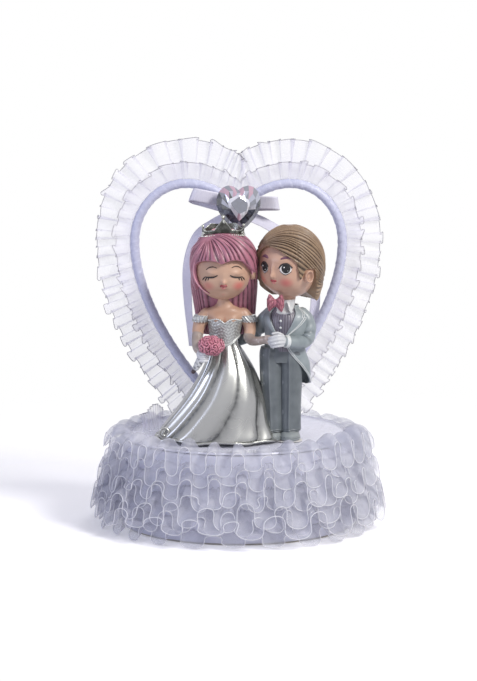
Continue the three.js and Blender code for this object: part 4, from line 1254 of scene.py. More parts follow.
@dataclass
class HeartArch:
    """The arch: a heart of wrapped tube, with its centre line that the ruffles stand on."""

    y: float = 12.0
    tube_radius: float = 2.2
    wrap_pitch: float = 5.2
    wrap_step: float = 0.16
    leg_x: float = 3.1
    foot: float = 29.3
    curves: tuple = (
        ((0, 153.2), (6.07, 158.44), (14.67, 164.6), (25.3, 164.6)),
        ((25.3, 164.6), (39.22, 164.6), (50.5, 151.8), (50.5, 136)),
        ((50.5, 136), (50.5, 105.9), (25.25, 68.9), (3.1, 50)),
    )
    steps: int = 400
    sides: int = 28
    line: Array = field(init=False)
    run: Array = field(init=False)

    def __post_init__(self) -> None:
        """Works out the right half's centre line, from the cleft down, and its length so far."""
        t = np.linspace(0, 1, 120)[:, None]
        runs = []
        for a, b, c, d in self.curves:
            a, b, c, d = map(np.array, (a, b, c, d))
            runs.append(a * (1 - t) ** 3 + 3 * b * t * (1 - t) ** 2 + 3 * c * t**2 * (1 - t) + d * t**3)
        path = np.vstack([runs[0], runs[1][1:], runs[2][1:]])
        self.line = spaced(path, self.steps)
        self.run = run_of(self.line)

    @property
    def half(self) -> float:
        """The right half's length."""
        return float(self.run[-1])

    def at(self, run: Array) -> tuple[Array, Array, Array]:
        """Places on the right half.

        Args:
            run: Distances along it from the cleft.

        Returns:
            The points as x and z, and the outward direction's x and z.
        """
        point = picked(self.line, self.run, run)
        way = unit(picked(unit(np.gradient(self.line, axis=0)), self.run, run))
        out = np.stack([-way[..., 1], way[..., 0]], axis=-1)
        share = smooth(run / 16.0)[..., None]
        out = unit(out * share + np.array([0.0, 1.0]) * (1 - share))
        return point, out[..., 0], out[..., 1]

    def tube(self) -> None:
        """The tube, wound with satin ribbon whose turns overlap."""
        half = np.stack([self.line[:, 0], np.full(self.steps, self.y), self.line[:, 1]], axis=-1)
        leg = np.array([[self.leg_x, self.y, z] for z in np.linspace(49.3, self.foot, 24)])
        right = np.vstack([half, leg])
        left = right[1:][::-1] * np.array([-1, 1, 1])
        path = spaced(np.vstack([left, right]), 1300)
        across = np.tile([0.0, 1.0, 0.0], (len(path), 1))
        tube = sweep(path, self.tube_radius, self.sides, dome=False, across=across)
        run = run_of(path)[:, None]
        t = ring_angles(self.sides)[None, :]
        saw = (run / self.wrap_pitch - t / TURN) % 1.0
        lap = self.wrap_step * np.minimum(saw / 0.92, (1 - saw) / 0.08)
        tube.relief(lap + 0.04 * np.sin(run * 1.7 + 3 * t))
        tube.groove = np.clip(1 - saw / 0.12, 0, 1) * 0.5
        part("arch_wrapped_tube", [tube], Finishes.TUBE, "arch_tube")


@dataclass
class PleatedStrip:
    """A box pleated organza strip that stands out from one half of the arch.

    wound is how many rows of its heading go round the back of the tube, lap is how far its first
    pleat reaches over the arch's middle, and hem_share is its cut length as a share of its hem.
    """

    arch: HeartArch
    name: str
    node: str
    side: int
    width: float
    heading: float
    lean: float
    pleats: int
    seed: int
    depth: float = 1.25
    cover: float = 0.9
    flare: float = 0.14
    rows: int = 10
    line: float = 0.17
    first: float = 0.0
    wound: int = 0
    lap: float = 0.0
    hem_share: float = 0.95

    def profile(self) -> tuple[Array, Array, Array, Array]:
        """One pass through the pleats at the hem.

        Returns:
            Distance along the arch, the same with the folds laid out evenly, depth from front to
            back from -1 to 1, and how far each point's hem stands out.
        """
        rng = np.random.default_rng(self.seed)
        pitches = 1 + rng.uniform(-0.38, 0.38, self.pleats)
        pitches *= (self.arch.half * self.cover - self.first) / pitches.sum()
        run, even, deep, out = [], [], [], []
        start = self.first
        for pitch in pitches:
            front = rng.uniform(0.62, 0.74)
            back = rng.uniform(0.2, 0.28)
            legs = [(0.0, front, -1, 11), (front, front - back, 0, 4), (front - back, 1.0 + back * 0.8, 1, 9)]
            legs.append((1.0 + back * 0.8, 1.0, 0, 4))
            tilt, reach = rng.normal(0, 0.8), rng.normal(0, 0.8)
            done = 0.0
            total = sum(abs(b - a) for a, b, _, _ in legs)
            for index, (a, b, face, count) in enumerate(legs):
                f = np.linspace(0, 1, count, endpoint=False)
                s = a + (b - a) * f
                run.append(start + pitch * s)
                even.append(start + pitch * (done + abs(b - a) * f) / total)
                done += abs(b - a)
                if face:
                    deep.append(face * (1 - 0.22 * np.cos(f * TURN)))
                else:
                    ends = (-1, 1) if index == 1 else (1, -1)
                    deep.append(ends[0] + (ends[1] - ends[0]) * f)
                lift = 0.6 if face == -1 else (-0.6 if face == 1 else 0.0)
                out.append(np.full(count, lift) + (reach + tilt * (2 * f - 1) if face == -1 else 0.0))
            start += pitch
        return tuple(np.concatenate(values) for values in (run, even, deep, out))

    def grid(self) -> Array:
        """The strip's points, from the tube out to the hem.

        Returns:
            Rows of points, from the tube to the hem.
        """
        run, even, deep, out = self.profile()
        for _ in range(2):
            run, deep, out = (softened(values, np.array([1, 2, 1]) / 4) for values in (run, deep, out))
        v = np.concatenate([np.zeros(self.wound), np.linspace(0, 1, self.rows)])[:, None]
        at = even + (run - even) * (0.45 + 0.55 * v)
        point, out_x, out_z = self.arch.at(np.clip(at, 0, self.arch.half))
        inner = self.arch.tube_radius + (0.08 if self.wound else 0.2)
        wide = self.width * (1 + self.flare * np.clip(out_z, 0, 1)) + out
        w = inner + (wide - inner) * v
        wave = 0.25 * np.sin(even * 0.9 + 4 * v)
        y = self.arch.y + self.heading + self.lean * v + deep * self.depth * (0.12 + 0.88 * v) + wave * v
        if self.wound:
            bend = np.linspace(math.pi / 2, 0.0, self.wound, endpoint=False)[:, None]
            w[: self.wound] = inner * np.cos(bend)
            y[: self.wound] = self.arch.y + inner * np.sin(bend)
        crossing = self.lap * (1 - smooth(at / 11.0)) * v
        x = self.side * (point[..., 0] + out_x * w - crossing)
        return np.stack([x, y, point[..., 1] + out_z * w], axis=-1)

    def make(self) -> None:
        """Builds the strip and the line in its hem."""
        strip = Surface(self.grid(), closed=False, flip=self.side > 0)
        cloth, line = hemmed(
            self.name, strip, self.line, Finishes.ORGANZA_ARCH, Finishes.ARCH_LINE_SHADED, self.node
        )
        tube = self.arch.tube_radius
        wide = self.width - tube + (math.pi / 2 * tube if self.wound else 0)
        long = length_of(strip.points[-1]) * self.hem_share
        declare(cloth, wide, long, Hold.GATHERED)


@dataclass
class LooseEnd:
    """The left strip's loose end, folded down so that it stands on the disc beside the train."""

    start: Pair = (-36.6, 5.6)
    length: float = 10.0
    foot: float = 44.55
    height: float = 13.6
    folds: int = 5
    line: float = 0.17

    def make(self) -> None:
        """Builds the curl and its hem line."""
        u = np.linspace(0, 1, 90)[None, :]
        v = np.linspace(0, 1, 14)[:, None]
        fold = np.sin(TURN * self.folds * u) * (0.9 + 0.5 * v)
        x = self.start[0] - self.length * (u + 0.05 * np.sin(TURN * 2 * u * self.folds) * v)
        x = x - 1.6 * v**3 * u
        y = self.start[1] - 0.6 * self.length * u + fold
        top = self.height * (0.72 + 0.28 * np.sin(math.pi * np.minimum(1, 1.4 * u)))
        z = self.foot + top * (v - 0.12 * v**4 * u)
        points = np.stack([x + 0 * v, y - 1.4 * v**4, z], axis=-1)
        cloth, line = hemmed(
            "arch_ruffle_curl", Surface(points, closed=False), self.line, Finishes.ORGANZA_ARCH,
            Finishes.ARCH_LINE_SHADED, "arch_ruffle_loose_end"
        )
        wide = length_of(points[len(points) // 2])
        declare(cloth, self.height, wide, Hold.GATHERED)


def ribbon(
    name: str, middle: Array, across: Array, width: float, crown: float, finish: Finish, node: str
) -> None:
    """A thin satin ribbon along a path.

    Args:
        name: The piece's name.
        middle: Points along its middle.
        across: The direction across it at each point.
        width: Its width.
        crown: How far its middle stands proud of its edges.
        finish: Its finish.
        node: The CAD node that it replaces.
    """
    across = unit(across)
    k = np.linspace(-0.5, 0.5, 9)
    face = unit(np.cross(across, np.gradient(middle, axis=0)))
    points = middle[:, None] + across[:, None] * (k * width)[None, :, None]
    points = points + face[:, None] * (crown * (1 - (2 * k) ** 2))[None, :, None]
    leaf(name, Surface(points, closed=False), RIBBON_THICKNESS, 0, finish, node)


@dataclass
class SatinBow:
    """The bow over the cleft, with its two tails."""

    centre: Place = (0.0, 7.3, 156.0)
    ribbon_width: float = 6.4
    tail_width: float = 5.6
    left_reach: float = 23.0
    right_reach: float = 19.5
    depth: float = 2.4
    root: float = 3.0

    def knot(self) -> None:
        """The knot: a short tight wrap with creases."""
        x, y, z = self.centre
        rings = [(-3.6, 2.2, 1.6), (-3.3, 3.1, 2.1), (-1.5, 2.9, 2.2)]
        rings += [(1.5, 3.0, 2.2), (3.3, 3.2, 2.1), (3.6, 2.3, 1.6)]
        sections = [(z + rise, x, y, wide, deep) for rise, wide, deep in rings]
        made = loft(sections, 40, 60, relief=lambda t, s: 0.16 * np.sin(9 * t + 5 * s), power=0.6)
        part("bow_knot_wrap", [made], Finishes.SATIN, "bow_knot")

    def loop(self, name: str, side: int, reach: float, rise: float, skew: float) -> None:
        """One loop of ribbon.

        Args:
            name: Left or right.
            side: -1 for left and 1 for right.
            reach: The knot's middle to the loop's end.
            rise: How far the loop's end is above the knot.
            skew: How far its back run is above its front run.
        """
        x, y, z = self.centre
        root = self.root
        a = np.linspace(0, 1, 90)
        bend = math.pi * (2 * a - 1)
        along = np.cos(bend / 2) ** 0.6 * (reach - root)
        off = self.depth * np.sin(bend) * 0.9 + 0.35 * np.sign(bend)
        share = along / (reach - root)
        back = smooth(a * 2.2 - 0.6)
        level = z + rise * share + skew * back * (1 - 0.25 * share)
        middle = np.stack([x + side * (root + along), y + off, level], axis=-1)
        slope = math.atan2(rise, reach - root)
        across = np.tile([-side * math.sin(slope), 0.0, math.cos(slope)], (len(a), 1))
        across[:, 0] = across[:, 0] - side * 0.16 * (1 - 2 * np.abs(a - 0.5))
        width, node = self.ribbon_width, f"bow_loop_{name}"
        ribbon(f"bow_ribbon_{name}", middle, across, width, 0.15, Finishes.SATIN, node)

    def tail(self, name: str, keys: Sequence[Sequence[float]], turn: Pair) -> None:
        """One hanging tail along key points, turning about its own length as it falls.

        Args:
            name: Left or right.
            keys: Points along its middle, from the knot down.
            turn: How far it is turned at its top and at its end, in radians.
        """
        middle = spaced(spline(keys, 160), 120)
        a = np.linspace(turn[0], turn[1], len(middle)) + 0.12 * np.sin(np.linspace(0, 9, len(middle)))
        tangent = unit(np.gradient(middle, axis=0))
        level = unit(np.cross(tangent, np.array([0.0, 1.0, 0.0])))
        across = level * np.cos(a)[:, None] + np.cross(tangent, level) * np.sin(a)[:, None]
        width, node = self.tail_width, f"ribbon_tail_{name}"
        ribbon(f"bow_tail_{name}", middle, across, width, 0.25, Finishes.TAIL_SATIN, node)

    def make(self) -> None:
        """Builds the knot, loops and tails."""
        self.knot()
        self.loop("left", -1, self.left_reach, 4.5, -3.0)
        self.loop("right", 1, self.right_reach, -0.2, -1.3)
        left = [(-2.6, 8.3, 150.2), (-12, 10, 145.6), (-20.6, 12, 138.4)]
        left += [(-24.8, 13, 123.9), (-24.6, 14.5, 103.9), (-22.4, 15.6, 83.9)]
        right = [(2.6, 8.3, 150.2), (14, 10, 144.8), (26.4, 12, 136.0)]
        right += [(35.5, 13, 121.9), (37.6, 15.6, 107.9), (36, 15.6, 93.9)]
        self.tail("left", left, (0.75, 0.8))
        self.tail("right", right, (-0.75, -0.7))


class FacetReflection(Enum):
    """Painted reflections that a foiled gem's facets show, each a fixed colour."""

    BLACK = ("10141B", 0.05)
    NAVY = ("2C3444", 0.2)
    OLIVE = ("56594F", 0.35)
    GREY = ("8D9096", 0.5)
    MIST = ("BBBECB", 0.65)
    WHITE = ("EFF0F6", 0.8)
    PINK = ("C9A3B1", 0.95)


@dataclass
class HeartGem:
    """A faceted acrylic heart with foil on its back, as seen through its front."""

    centre: Pair = (0.0, 153.4)
    back: float = 3.7
    front: float = -4.7
    width: float = 21.6
    height: float = 23.4
    table: tuple = ((0.03, 0.57), (0.43, 0.3), (0.37, 0.0), (0.03, -0.16), (-0.22, 0.1), (-0.36, 0.3))
    frame: tuple = (
        (0.02, 0.66), (0.48, 0.42), (0.52, 0.24), (0.36, -0.14), (0.03, -0.46), (-0.3, -0.02),
        (-0.5, 0.28), (-0.42, 0.46),
    )

    def outline(self) -> Array:
        """The heart's outline, clockwise from its notch, with 20 corners, in half widths.

        Returns:
            The corners' x and z, from -1 to 1.
        """
        half = [(0, 0.8), (0.2, 0.93), (0.44, 0.99), (0.68, 0.92), (0.88, 0.72), (0.98, 0.44)]
        half += [(0.98, 0.16), (0.88, -0.12), (0.7, -0.4), (0.4, -0.7), (0, -1)]
        right = np.array(half)
        left = right[1:-1][::-1] * np.array([-1, 1])
        return np.vstack([right, left])

    def walk(self, corners: Sequence[Pair]) -> Array:
        """Twenty points at even steps round a polygon, from its first corner."""
        ring = np.vstack([corners, corners[:1]])
        return spaced(ring, 21)[:-1]

    def rings(self) -> list[tuple[Array, float]]:
        """The rings of corners from the back to the table, each with its place in depth.

        Returns:
            Each ring's corners, and its share of the way from back to front.
        """
        girdle = self.outline()
        between = (girdle + np.roll(girdle, -1, 0)) / 2
        frame = self.walk(self.frame)
        upper = between * 0.8 + 0.02
        return [
            (girdle * 0.55, 0.0), (girdle * 0.97, 0.34), (girdle, 0.42), (upper, 0.76), (frame, 0.93),
            (self.walk(self.table), 1.0),
        ]

    def reflection_of(self, ring: int, u: float, v: float, odd: bool) -> FacetReflection:
        """Which painted reflection a facet shows.

        Args:
            ring: The ring at its back edge, or 5 for the table.
            u: Its middle across, in half widths.
            v: Its middle upward, in half heights.
            odd: Whether it is every other one.

        Returns:
            Its painted reflection.
        """
        if ring >= 5:
            return FacetReflection.GREY
        if ring == 4:
            if v < -0.2 and abs(u) < 0.16:
                return FacetReflection.PINK
            return FacetReflection.WHITE
        if v > 0.62:
            return FacetReflection.PINK if odd != (ring == 3) else (FacetReflection.MIST if ring == 3 else FacetReflection.GREY)
        if v > 0.1:
            if u < 0:
                return FacetReflection.OLIVE if odd else (FacetReflection.MIST if ring == 3 else FacetReflection.BLACK)
            return FacetReflection.MIST if odd else (FacetReflection.GREY if ring == 3 else FacetReflection.OLIVE)
        if v < -0.55 and u < 0.05:
            return FacetReflection.MIST if odd else FacetReflection.NAVY
        return FacetReflection.BLACK if odd else FacetReflection.NAVY

    def make(self) -> None:
        """Builds the gem, each facet numbered with its painted reflection."""
        rings = self.rings()
        n = len(rings[0][0])
        size = np.array([self.width / 2, self.height / 2])
        points, faces, middles = [], [], []
        for ring, share in rings:
            flat = ring * size
            y = self.back + (self.front - self.back) * share
            points.append(np.stack([flat[:, 0], np.full(n, y), flat[:, 1] + self.centre[1]], axis=-1))
        for i in range(len(rings) - 1):
            for k in range(n):
                a, b = i * n + k, i * n + (k + 1) % n
                c, d = a + n, b + n
                pair = [[a, b, c], [b, d, c]] if i == 2 else [[a, b, d], [a, d, c]]
                faces += pair
                middles += [(i, k)] * 2
        faces += [list(range(n))[::-1], list(range(len(points) * n - n, len(points) * n))]
        corners = np.vstack(points)
        mesh = bpy.data.meshes.new("gem_crystal_heart")
        mesh.from_pydata((corners * MM).tolist(), [], faces)
        values = []
        for index, face in enumerate(faces):
            u, v = (corners[face].mean(axis=0)[[0, 2]] - np.array([0, self.centre[1]])) / size
            ring = middles[index][0] if index < len(middles) else 5
            odd = sum(middles[index]) % 2 == 0 if index < len(middles) else False
            values.append(self.reflection_of(ring, u, v, odd).value[1])
        tint = mesh.attributes.new("facet", "FLOAT", "FACE")
        tint.data.foreach_set("value", np.array(values, np.float32))
        work = bmesh.new()
        work.from_mesh(mesh)
        bmesh.ops.recalc_face_normals(work, faces=work.faces)
        work.to_mesh(mesh)
        work.free()
        piece = bpy.data.objects.new("gem_crystal_heart", mesh)
        bpy.context.scene.collection.objects.link(piece)
        dress(piece, FoiledCrystal("gem_crystal"), "heart_gem")


@dataclass(frozen=True)
class FoiledCrystal(Finish):
    """Acrylic over foil: each facet is painted with a reflection of its own colour, under a clear gloss."""

    name: str
    slot: Optional[Slot] = Slot.GEM

    def shade(self, graph: Graph) -> bpy.types.Node:
        """Colours each facet with its painted reflection, by its own number.

        Args:
            graph: The material's graph.

        Returns:
            The shader's node.
        """
        value = graph.add("Attribute", attribute_name="facet").outputs["Fac"]
        brushed = Effects.use(graph, "mottle", {"Patches per metre": 700.0, "Grain per metre": 1200.0})
        ramp = graph.add("ValToRGB", {0: value})
        ramp.color_ramp.interpolation = "CONSTANT"
        elements = ramp.color_ramp.elements
        while len(elements) < len(FacetReflection):
            elements.new(0.5)
        for element, facet in zip(elements, FacetReflection):
            element.position = max(facet.value[1] - 0.075, 0.0)
            element.color = srgb(facet.value[0])
        share = graph.math("MULTIPLY", brushed.outputs["Patches"], 0.35)
        color = graph.mix(share, ramp.outputs[0], srgb("9FA3B4"))
        rough = graph.spread(brushed.outputs["Grain"], 0.0, 1.0, (0.06, 0.14))
        sockets = {"Base Color": color, "Metallic": 0.3, "Roughness": rough, "Coat Weight": 1.0}
        return graph.add("BsdfPrincipled", sockets)


@dataclass
class Studio:
    """Floor, world, lamps and camera."""

    target: Place = (0.0, 0.0, 0.095)
    distance: float = 1.7
    elevation: float = 8.94
    frame_height: float = 0.3303
    shift: float = -11.6 / 681
    floor_reach: float = 420.0
    floor_lift: float = 0.25
    ambient: float = 0.38

    def camera(self) -> None:
        """A camera in front of the topper, a little above it, with a long lens."""
        data = bpy.data.cameras.new("camera")
        data.sensor_fit = "VERTICAL"
        data.sensor_height = 36.0
        data.lens = 36.0 * self.distance / self.frame_height
        data.shift_y = self.shift
        data.clip_start = 0.01
        camera = bpy.data.objects.new("camera", data)
        tilt = math.radians(self.elevation)
        x, y, z = self.target
        camera.location = (x, y - self.distance * math.cos(tilt), z + self.distance * math.sin(tilt))
        camera.rotation_euler = (math.pi / 2 - tilt, 0, 0)
        bpy.context.scene.collection.objects.link(camera)
        bpy.context.scene.camera = camera

    def lamp(
        self, name: str, place: Place, size: float, power: float, color: str
    ) -> None:
        """One soft lamp that faces the topper's middle.

        Args:
            name: Its name.
            place: Where it stands, in metres.
            size: Its width in metres.
            power: Its power in watts.
            color: Its colour's six digits.
        """
        data = bpy.data.lights.new(name, "AREA")
        data.shape = "DISK"
        data.size = size
        data.energy = power
        data.color = srgb(color)[:3]
        lamp = bpy.data.objects.new(name, data)
        lamp.location = place
        way = Vector(self.target) - Vector(place)
        lamp.rotation_euler = way.to_track_quat("-Z", "Y").to_euler()
        bpy.context.scene.collection.objects.link(lamp)

    def world(self) -> None:
        """White where the camera, gloss and glass see it, softer as a lamp."""
        world = bpy.data.worlds.new("studio")
        graph = Graph.of(world)
        path = graph.add("LightPath")
        seen = graph.math("MAXIMUM", path.outputs["Is Camera Ray"], path.outputs["Is Transmission Ray"])
        strength = graph.spread(seen, 0.0, 1.0, (self.ambient, 1.0))
        gloss = graph.spread(path.outputs["Is Glossy Ray"], 0.0, 1.0, (0.0, 1.0))
        strength = graph.math("MAXIMUM", strength, gloss)
        color = graph.mix(seen, srgb("F1F0FA"), (1, 1, 1, 1))
        shade = graph.add("Background", {"Color": color, "Strength": strength})
        graph.add("OutputWorld", {"Surface": shade.outputs[0]})
        bpy.context.scene.world = world

    def floor(self) -> None:
        """A pale floor that keeps the shadow and fades to white."""
        t = ring_angles(96)[None, :]
        r = np.linspace(1, self.floor_reach, 40)[:, None]
        points = np.stack([r * np.cos(t), r * np.sin(t), 0 * r * t], axis=-1)
        piece = build("studio_floor", [Surface(points, caps=False, flip=True)])
        made = bpy.data.materials.new("studio_floor")
        graph = Graph.of(made)
        place = graph.add("TexCoord").outputs["Object"]
        noise = graph.add("TexNoise", {"Vector": place, "Scale": 30.0}).outputs[0]
        color = graph.mix(graph.math("MULTIPLY", noise, 0.1), srgb("F6F5FA"), srgb("EFEFF6"))
        diffuse = graph.add(
            "BsdfPrincipled", {"Base Color": color, "Roughness": 0.7, "Specular IOR Level": 0.2}
        )
        path = graph.add("LightPath")
        seen = graph.math("MAXIMUM", path.outputs["Is Camera Ray"], path.outputs["Is Glossy Ray"])
        seen = graph.math("MAXIMUM", seen, path.outputs["Is Transmission Ray"])
        glow = graph.add(
            "Emission", {"Color": (1, 1, 1, 1), "Strength": graph.math("MULTIPLY", seen, self.floor_lift)}
        )
        both = graph.add("AddShader", {0: diffuse.outputs[0], 1: glow.outputs[0]})
        far = graph.add("VectorMath", {0: place}, operation="LENGTH").outputs["Value"]
        share = graph.spread(far, 0.12, self.floor_reach * MM * 0.9)
        share.node.interpolation_type = "SMOOTHSTEP"
        clear = graph.add("BsdfTransparent")
        faded = graph.add("MixShader", {0: share, 1: both.outputs[0], 2: clear.outputs[0]})
        graph.add("OutputMaterial", {"Surface": faded.outputs[0]})
        piece.data.materials.append(made)

    def make(self) -> None:
        """Builds the studio."""
        self.camera()
        self.world()
        self.floor()
        self.lamp("key", (0.62, -0.62, 0.8), 0.28, 10.5, "FFFDF8")
        self.lamp("fill", (-0.75, -0.5, 0.35), 0.4, 2.3, "D8E0FF")
        self.lamp("back", (0.25, 0.8, 0.7), 0.5, 2.6, "FFFFFF")
        scene = bpy.context.scene
        scene.view_settings.view_transform = "Standard"
        scene.cycles.transparent_max_bounces = 64


@dataclass(frozen=True)
class Swell:
    """A soft rise or hollow on a head: its azimuth from the face's front, height, reach and depth."""

    angle: float
    z: float
    wide: float
    tall: float
    out: float


@dataclass
class Head:
    """A doll's head and the places on it. Azimuths are radians from the face's front."""

    name: str
    node: str
    centre: Place
    radii: Place
    turn: float
    finish: Finish
    swells: tuple[Swell, ...] = ()

    def height(self, angle: Array, z: Array) -> Array:
        """How far the face stands proud of its oval.

        Args:
            angle: Azimuths.
            z: Heights.

        Returns:
            The height over the oval at each place.
        """
        share = np.clip((np.asarray(z) - self.centre[2]) / self.radii[2], -1, 1)
        across = self.radii[0] * np.sqrt(1 - share**2)
        out = 0.0 * share
        for swell in self.swells:
            off = half_turn(np.asarray(angle) - swell.angle)
            out = out + swell.out * np.exp(
                -((off * across / swell.wide) ** 2) - ((z - swell.z) / swell.tall) ** 2
            )
        return out

    def at(self, angle: Array | float, z: Array | float, out: float = 0.0) -> Array:
        """Points on the face, or a little out from it.

        Args:
            angle: Azimuths.
            z: Heights.
            out: How far out from the face.

        Returns:
            The points.
        """
        angle, z = np.broadcast_arrays(np.asarray(angle, float), np.asarray(z, float))
        share = np.clip((z - self.centre[2]) / self.radii[2], -1, 1)
        round_share = np.sqrt(1 - share**2)
        proud = self.height(angle, z) + out
        a = angle + self.turn
        rx, ry = (self.radii[k] * round_share + proud for k in (0, 1))
        return oval(*self.centre[:2], rx, ry, a, z)

    def stroke(
        self, keys: Sequence[Pair], radius: float, out: float = 0.0, flat: float = 0.45
    ) -> Surface:
        """A painted stroke that thins at its ends.

        Args:
            keys: Azimuth and height of points along it.
            radius: Its half width.
            out: How far its middle stands off the face.
            flat: Its thickness as a share of its width.

        Returns:
            The stroke.
        """
        angle, z = spline(keys, 22).T
        path = self.at(angle, z, out)
        away = unit(path - np.array(self.centre))
        tangent = unit(np.gradient(path, axis=0))
        taper = 0.45 + 0.55 * np.sin(np.linspace(0.15, math.pi - 0.15, len(path)))
        return sweep(path, radius * taper, 8, flat=flat, across=np.cross(away, tangent))

    def patch(self, angle: float, z: float, wide: float, tall: float, out: float) -> Surface:
        """A slightly domed oval on the face.

        Args:
            angle: Its middle's azimuth.
            z: Its middle's height.
            wide: Its half width.
            tall: Its half height.
            out: How far its middle bulges.

        Returns:
            The oval.
        """
        share = (z - self.centre[2]) / self.radii[2]
        across = self.radii[0] * math.sqrt(1 - share**2)
        r = np.linspace(0.03, 1, 9)[:, None]
        t = ring_angles(30)[None, :]
        points = self.at(angle + r * np.cos(t) * wide / across, z + r * np.sin(t) * tall)
        middle = np.array(self.centre)
        dome = out * np.sqrt(np.clip(1 - (r * 0.98) ** 2, 0, 1))[..., None]
        points = points + unit(points - middle) * (dome - 0.02)
        return Surface(points)

    def make(self) -> None:
        """Builds the head."""

        def relief(t: Array, s: Array) -> Array:
            """The face's swells."""
            z = self.centre[2] + self.radii[2] * np.sin((s - 0.5) * math.pi)
            return self.height(t + math.pi / 2 - self.turn, z)

        oval_head = ball(self.centre, self.radii, 200, 150, relief=relief)
        part(self.name, [oval_head], self.finish, self.node)


@dataclass
class Hair:
    """A carved head of hair as a shell over a head, its strands fanning from a parting.

    edge gives, by azimuth from straight ahead in degrees, the height where the hair ends.
    """

    name: str
    node: str
    finish: Finish
    centre: Place
    radii: Place
    edge: Sequence[Pair]
    parting: Pair
    strands: int = 58
    depth: float = 0.45
    lock_depth: float = 0.3
    thickness: float = 2.0
    tuck: float = 0.14
    curl: float = 0.02
    seed: int = 3
    span: Pair = (-180.0, 180.0)
    top: float = 0.03
    columns: int = 520
    rows: int = 140

    @property
    def whole(self) -> bool:
        """Whether the hair goes all the way round."""
        return self.span[1] - self.span[0] >= 360

    def axes(self) -> tuple[Array, Array, Array]:
        """The parting's direction from the head's middle, and two directions across it.

        Returns:
            The three directions.
        """
        x, z = ((self.parting[k] - self.centre[2 * k]) / self.radii[2 * k] for k in (0, 1))
        pole = np.array([x, -math.sqrt(max(1 - x * x - z * z, 0.01)), z])
        side = unit(np.cross(pole, np.array([0.0, 1.0, 0.0])))
        return pole, side, np.cross(pole, side)

    def strand(self, points: Array) -> tuple[Array, Array]:
        """Which strand each point is on, and how far it is from the parting in radians.

        Args:
            points: The points.

        Returns:
            A strand number with its fraction, and the distance, for each point.
        """
        pole, side, across = self.axes()
        way = unit((points - np.array(self.centre)) / np.array(self.radii))
        far = np.arccos(np.clip(way @ pole, -1, 1))
        turn = np.arctan2(way @ across, way @ side)
        return (turn + self.curl * far) * self.strands / TURN, far

    def along(self, turn: float, reach: Pair, out: float) -> Array:
        """A line over the hair from near the parting outward.

        Args:
            turn: Which way it leaves the parting, in radians.
            reach: Where it starts and ends, in radians from the parting.
            out: How far it lies off the hair.

        Returns:
            Its 40 points.
        """
        pole, side, across = self.axes()
        far = np.linspace(*reach, 40)
        a = turn - self.curl * far
        way = np.cos(far)[:, None] * pole
        way = way + np.sin(far)[:, None] * (np.cos(a)[:, None] * side + np.sin(a)[:, None] * across)
        return np.array(self.centre) + way * (np.array(self.radii) + out)

    def grid(self) -> Array:
        """The shell's points, from the crown down to its edge and in under it.

        Returns:
            Rows of points, from the crown to the edge's inside.
        """
        cx, cy, cz = self.centre
        rx, ry, rz = self.radii
        whole = self.whole
        azimuth = np.linspace(*self.span, self.columns, endpoint=not whole)
        keys = np.array(self.edge)
        low = np.interp(azimuth, keys[:, 0], keys[:, 1])
        low = softened(low, np.hanning(9) / np.hanning(9).sum(), "wrap" if whole else "edge")
        a = np.radians(azimuth)[None, :]
        v = np.linspace(self.top, 1, self.rows)[:, None]
        over = np.where(
            low > cz, rz * np.arccos(np.clip((low - cz) / rz, -1, 1)), rz * math.pi / 2 + cz - low
        )
        run = v * over[None, :]
        arc = np.minimum(run / rz, math.pi / 2)
        below = np.maximum(run - rz * math.pi / 2, 0)
        z = cz + rz * np.cos(arc) - below
        out = np.sin(arc) * (1 - self.tuck * (below / 12) ** 2)
        points = oval(cx, cy, rx * out, ry * out, a, z)
        edge = points[-1:]
        inward = unit(np.array([cx, cy, cz]) - edge) * self.thickness
        inward[..., 2] *= 0.5
        folds = [edge + inward * k for k in (0.12, 0.4, 0.75, 1.0)]
        folds[0][..., 2] -= 0.25
        return np.vstack([points, *folds])

    def make(self) -> None:
        """Builds the carved shell."""
        points = self.grid()
        q, far = self.strand(points)
        q = q + 0.35 * np.sin(2.3 * far + q * 0.9) + 0.4 * np.sin(q * 0.31 + self.seed)
        locks = ridges(q / 4.0 + 0.1 * np.sin(q * 0.5), 2.4)
        fine = ridges(q, 1.5)
        rows = np.arange(points.shape[0])[:, None]
        on = smooth(rows / 10) * (1 - smooth((rows - self.rows + 3) / 4)) * smooth((far - 0.08) / 0.22)
        surface = Surface(points, closed=self.whole, caps=self.whole, flip=True)
        surface.relief(on * (self.lock_depth * (locks - 0.6) + self.depth * (fine - 0.6)))
        surface.groove = np.clip((1 - fine) ** 1.4 * 1.5 + (1 - locks) ** 2 * 0.7, 0, 1) * on
        part(self.name, [surface], self.finish, self.node)


def lash(head: Head, side: int, angle: float, z: float) -> list[Surface]:
    """A closed eye: its lid line and three lashes at its outer end.

    Args:
        head: The head that it is painted on.
        side: -1 for the eye on the left and 1 for the right.
        angle: The eye's azimuth.
        z: The eye's height.

    Returns:
        The strokes.
    """
    line = [(angle - side * 0.21, z + 0.75), (angle - side * 0.08, z - 0.15), (angle + side * 0.1, z - 0.45)]
    line.append((angle + side * 0.24, z - 0.3))
    parts = [head.stroke(line, 0.42, 0.1, 0.6)]
    for k, (at, drop, reach) in enumerate([(0.1, -0.5, 1.3), (0.17, -0.42, 1.8), (0.24, -0.3, 1.7)]):
        start = (angle + side * at, z + drop)
        end = (angle + side * (at + 0.03 + 0.045 * k), z + drop - reach)
        middle = ((start[0] + end[0]) / 2 + side * 0.004, (start[1] + end[1]) / 2)
        parts.append(head.stroke([start, middle, end], 0.31, 0.1, 0.6))
    return parts


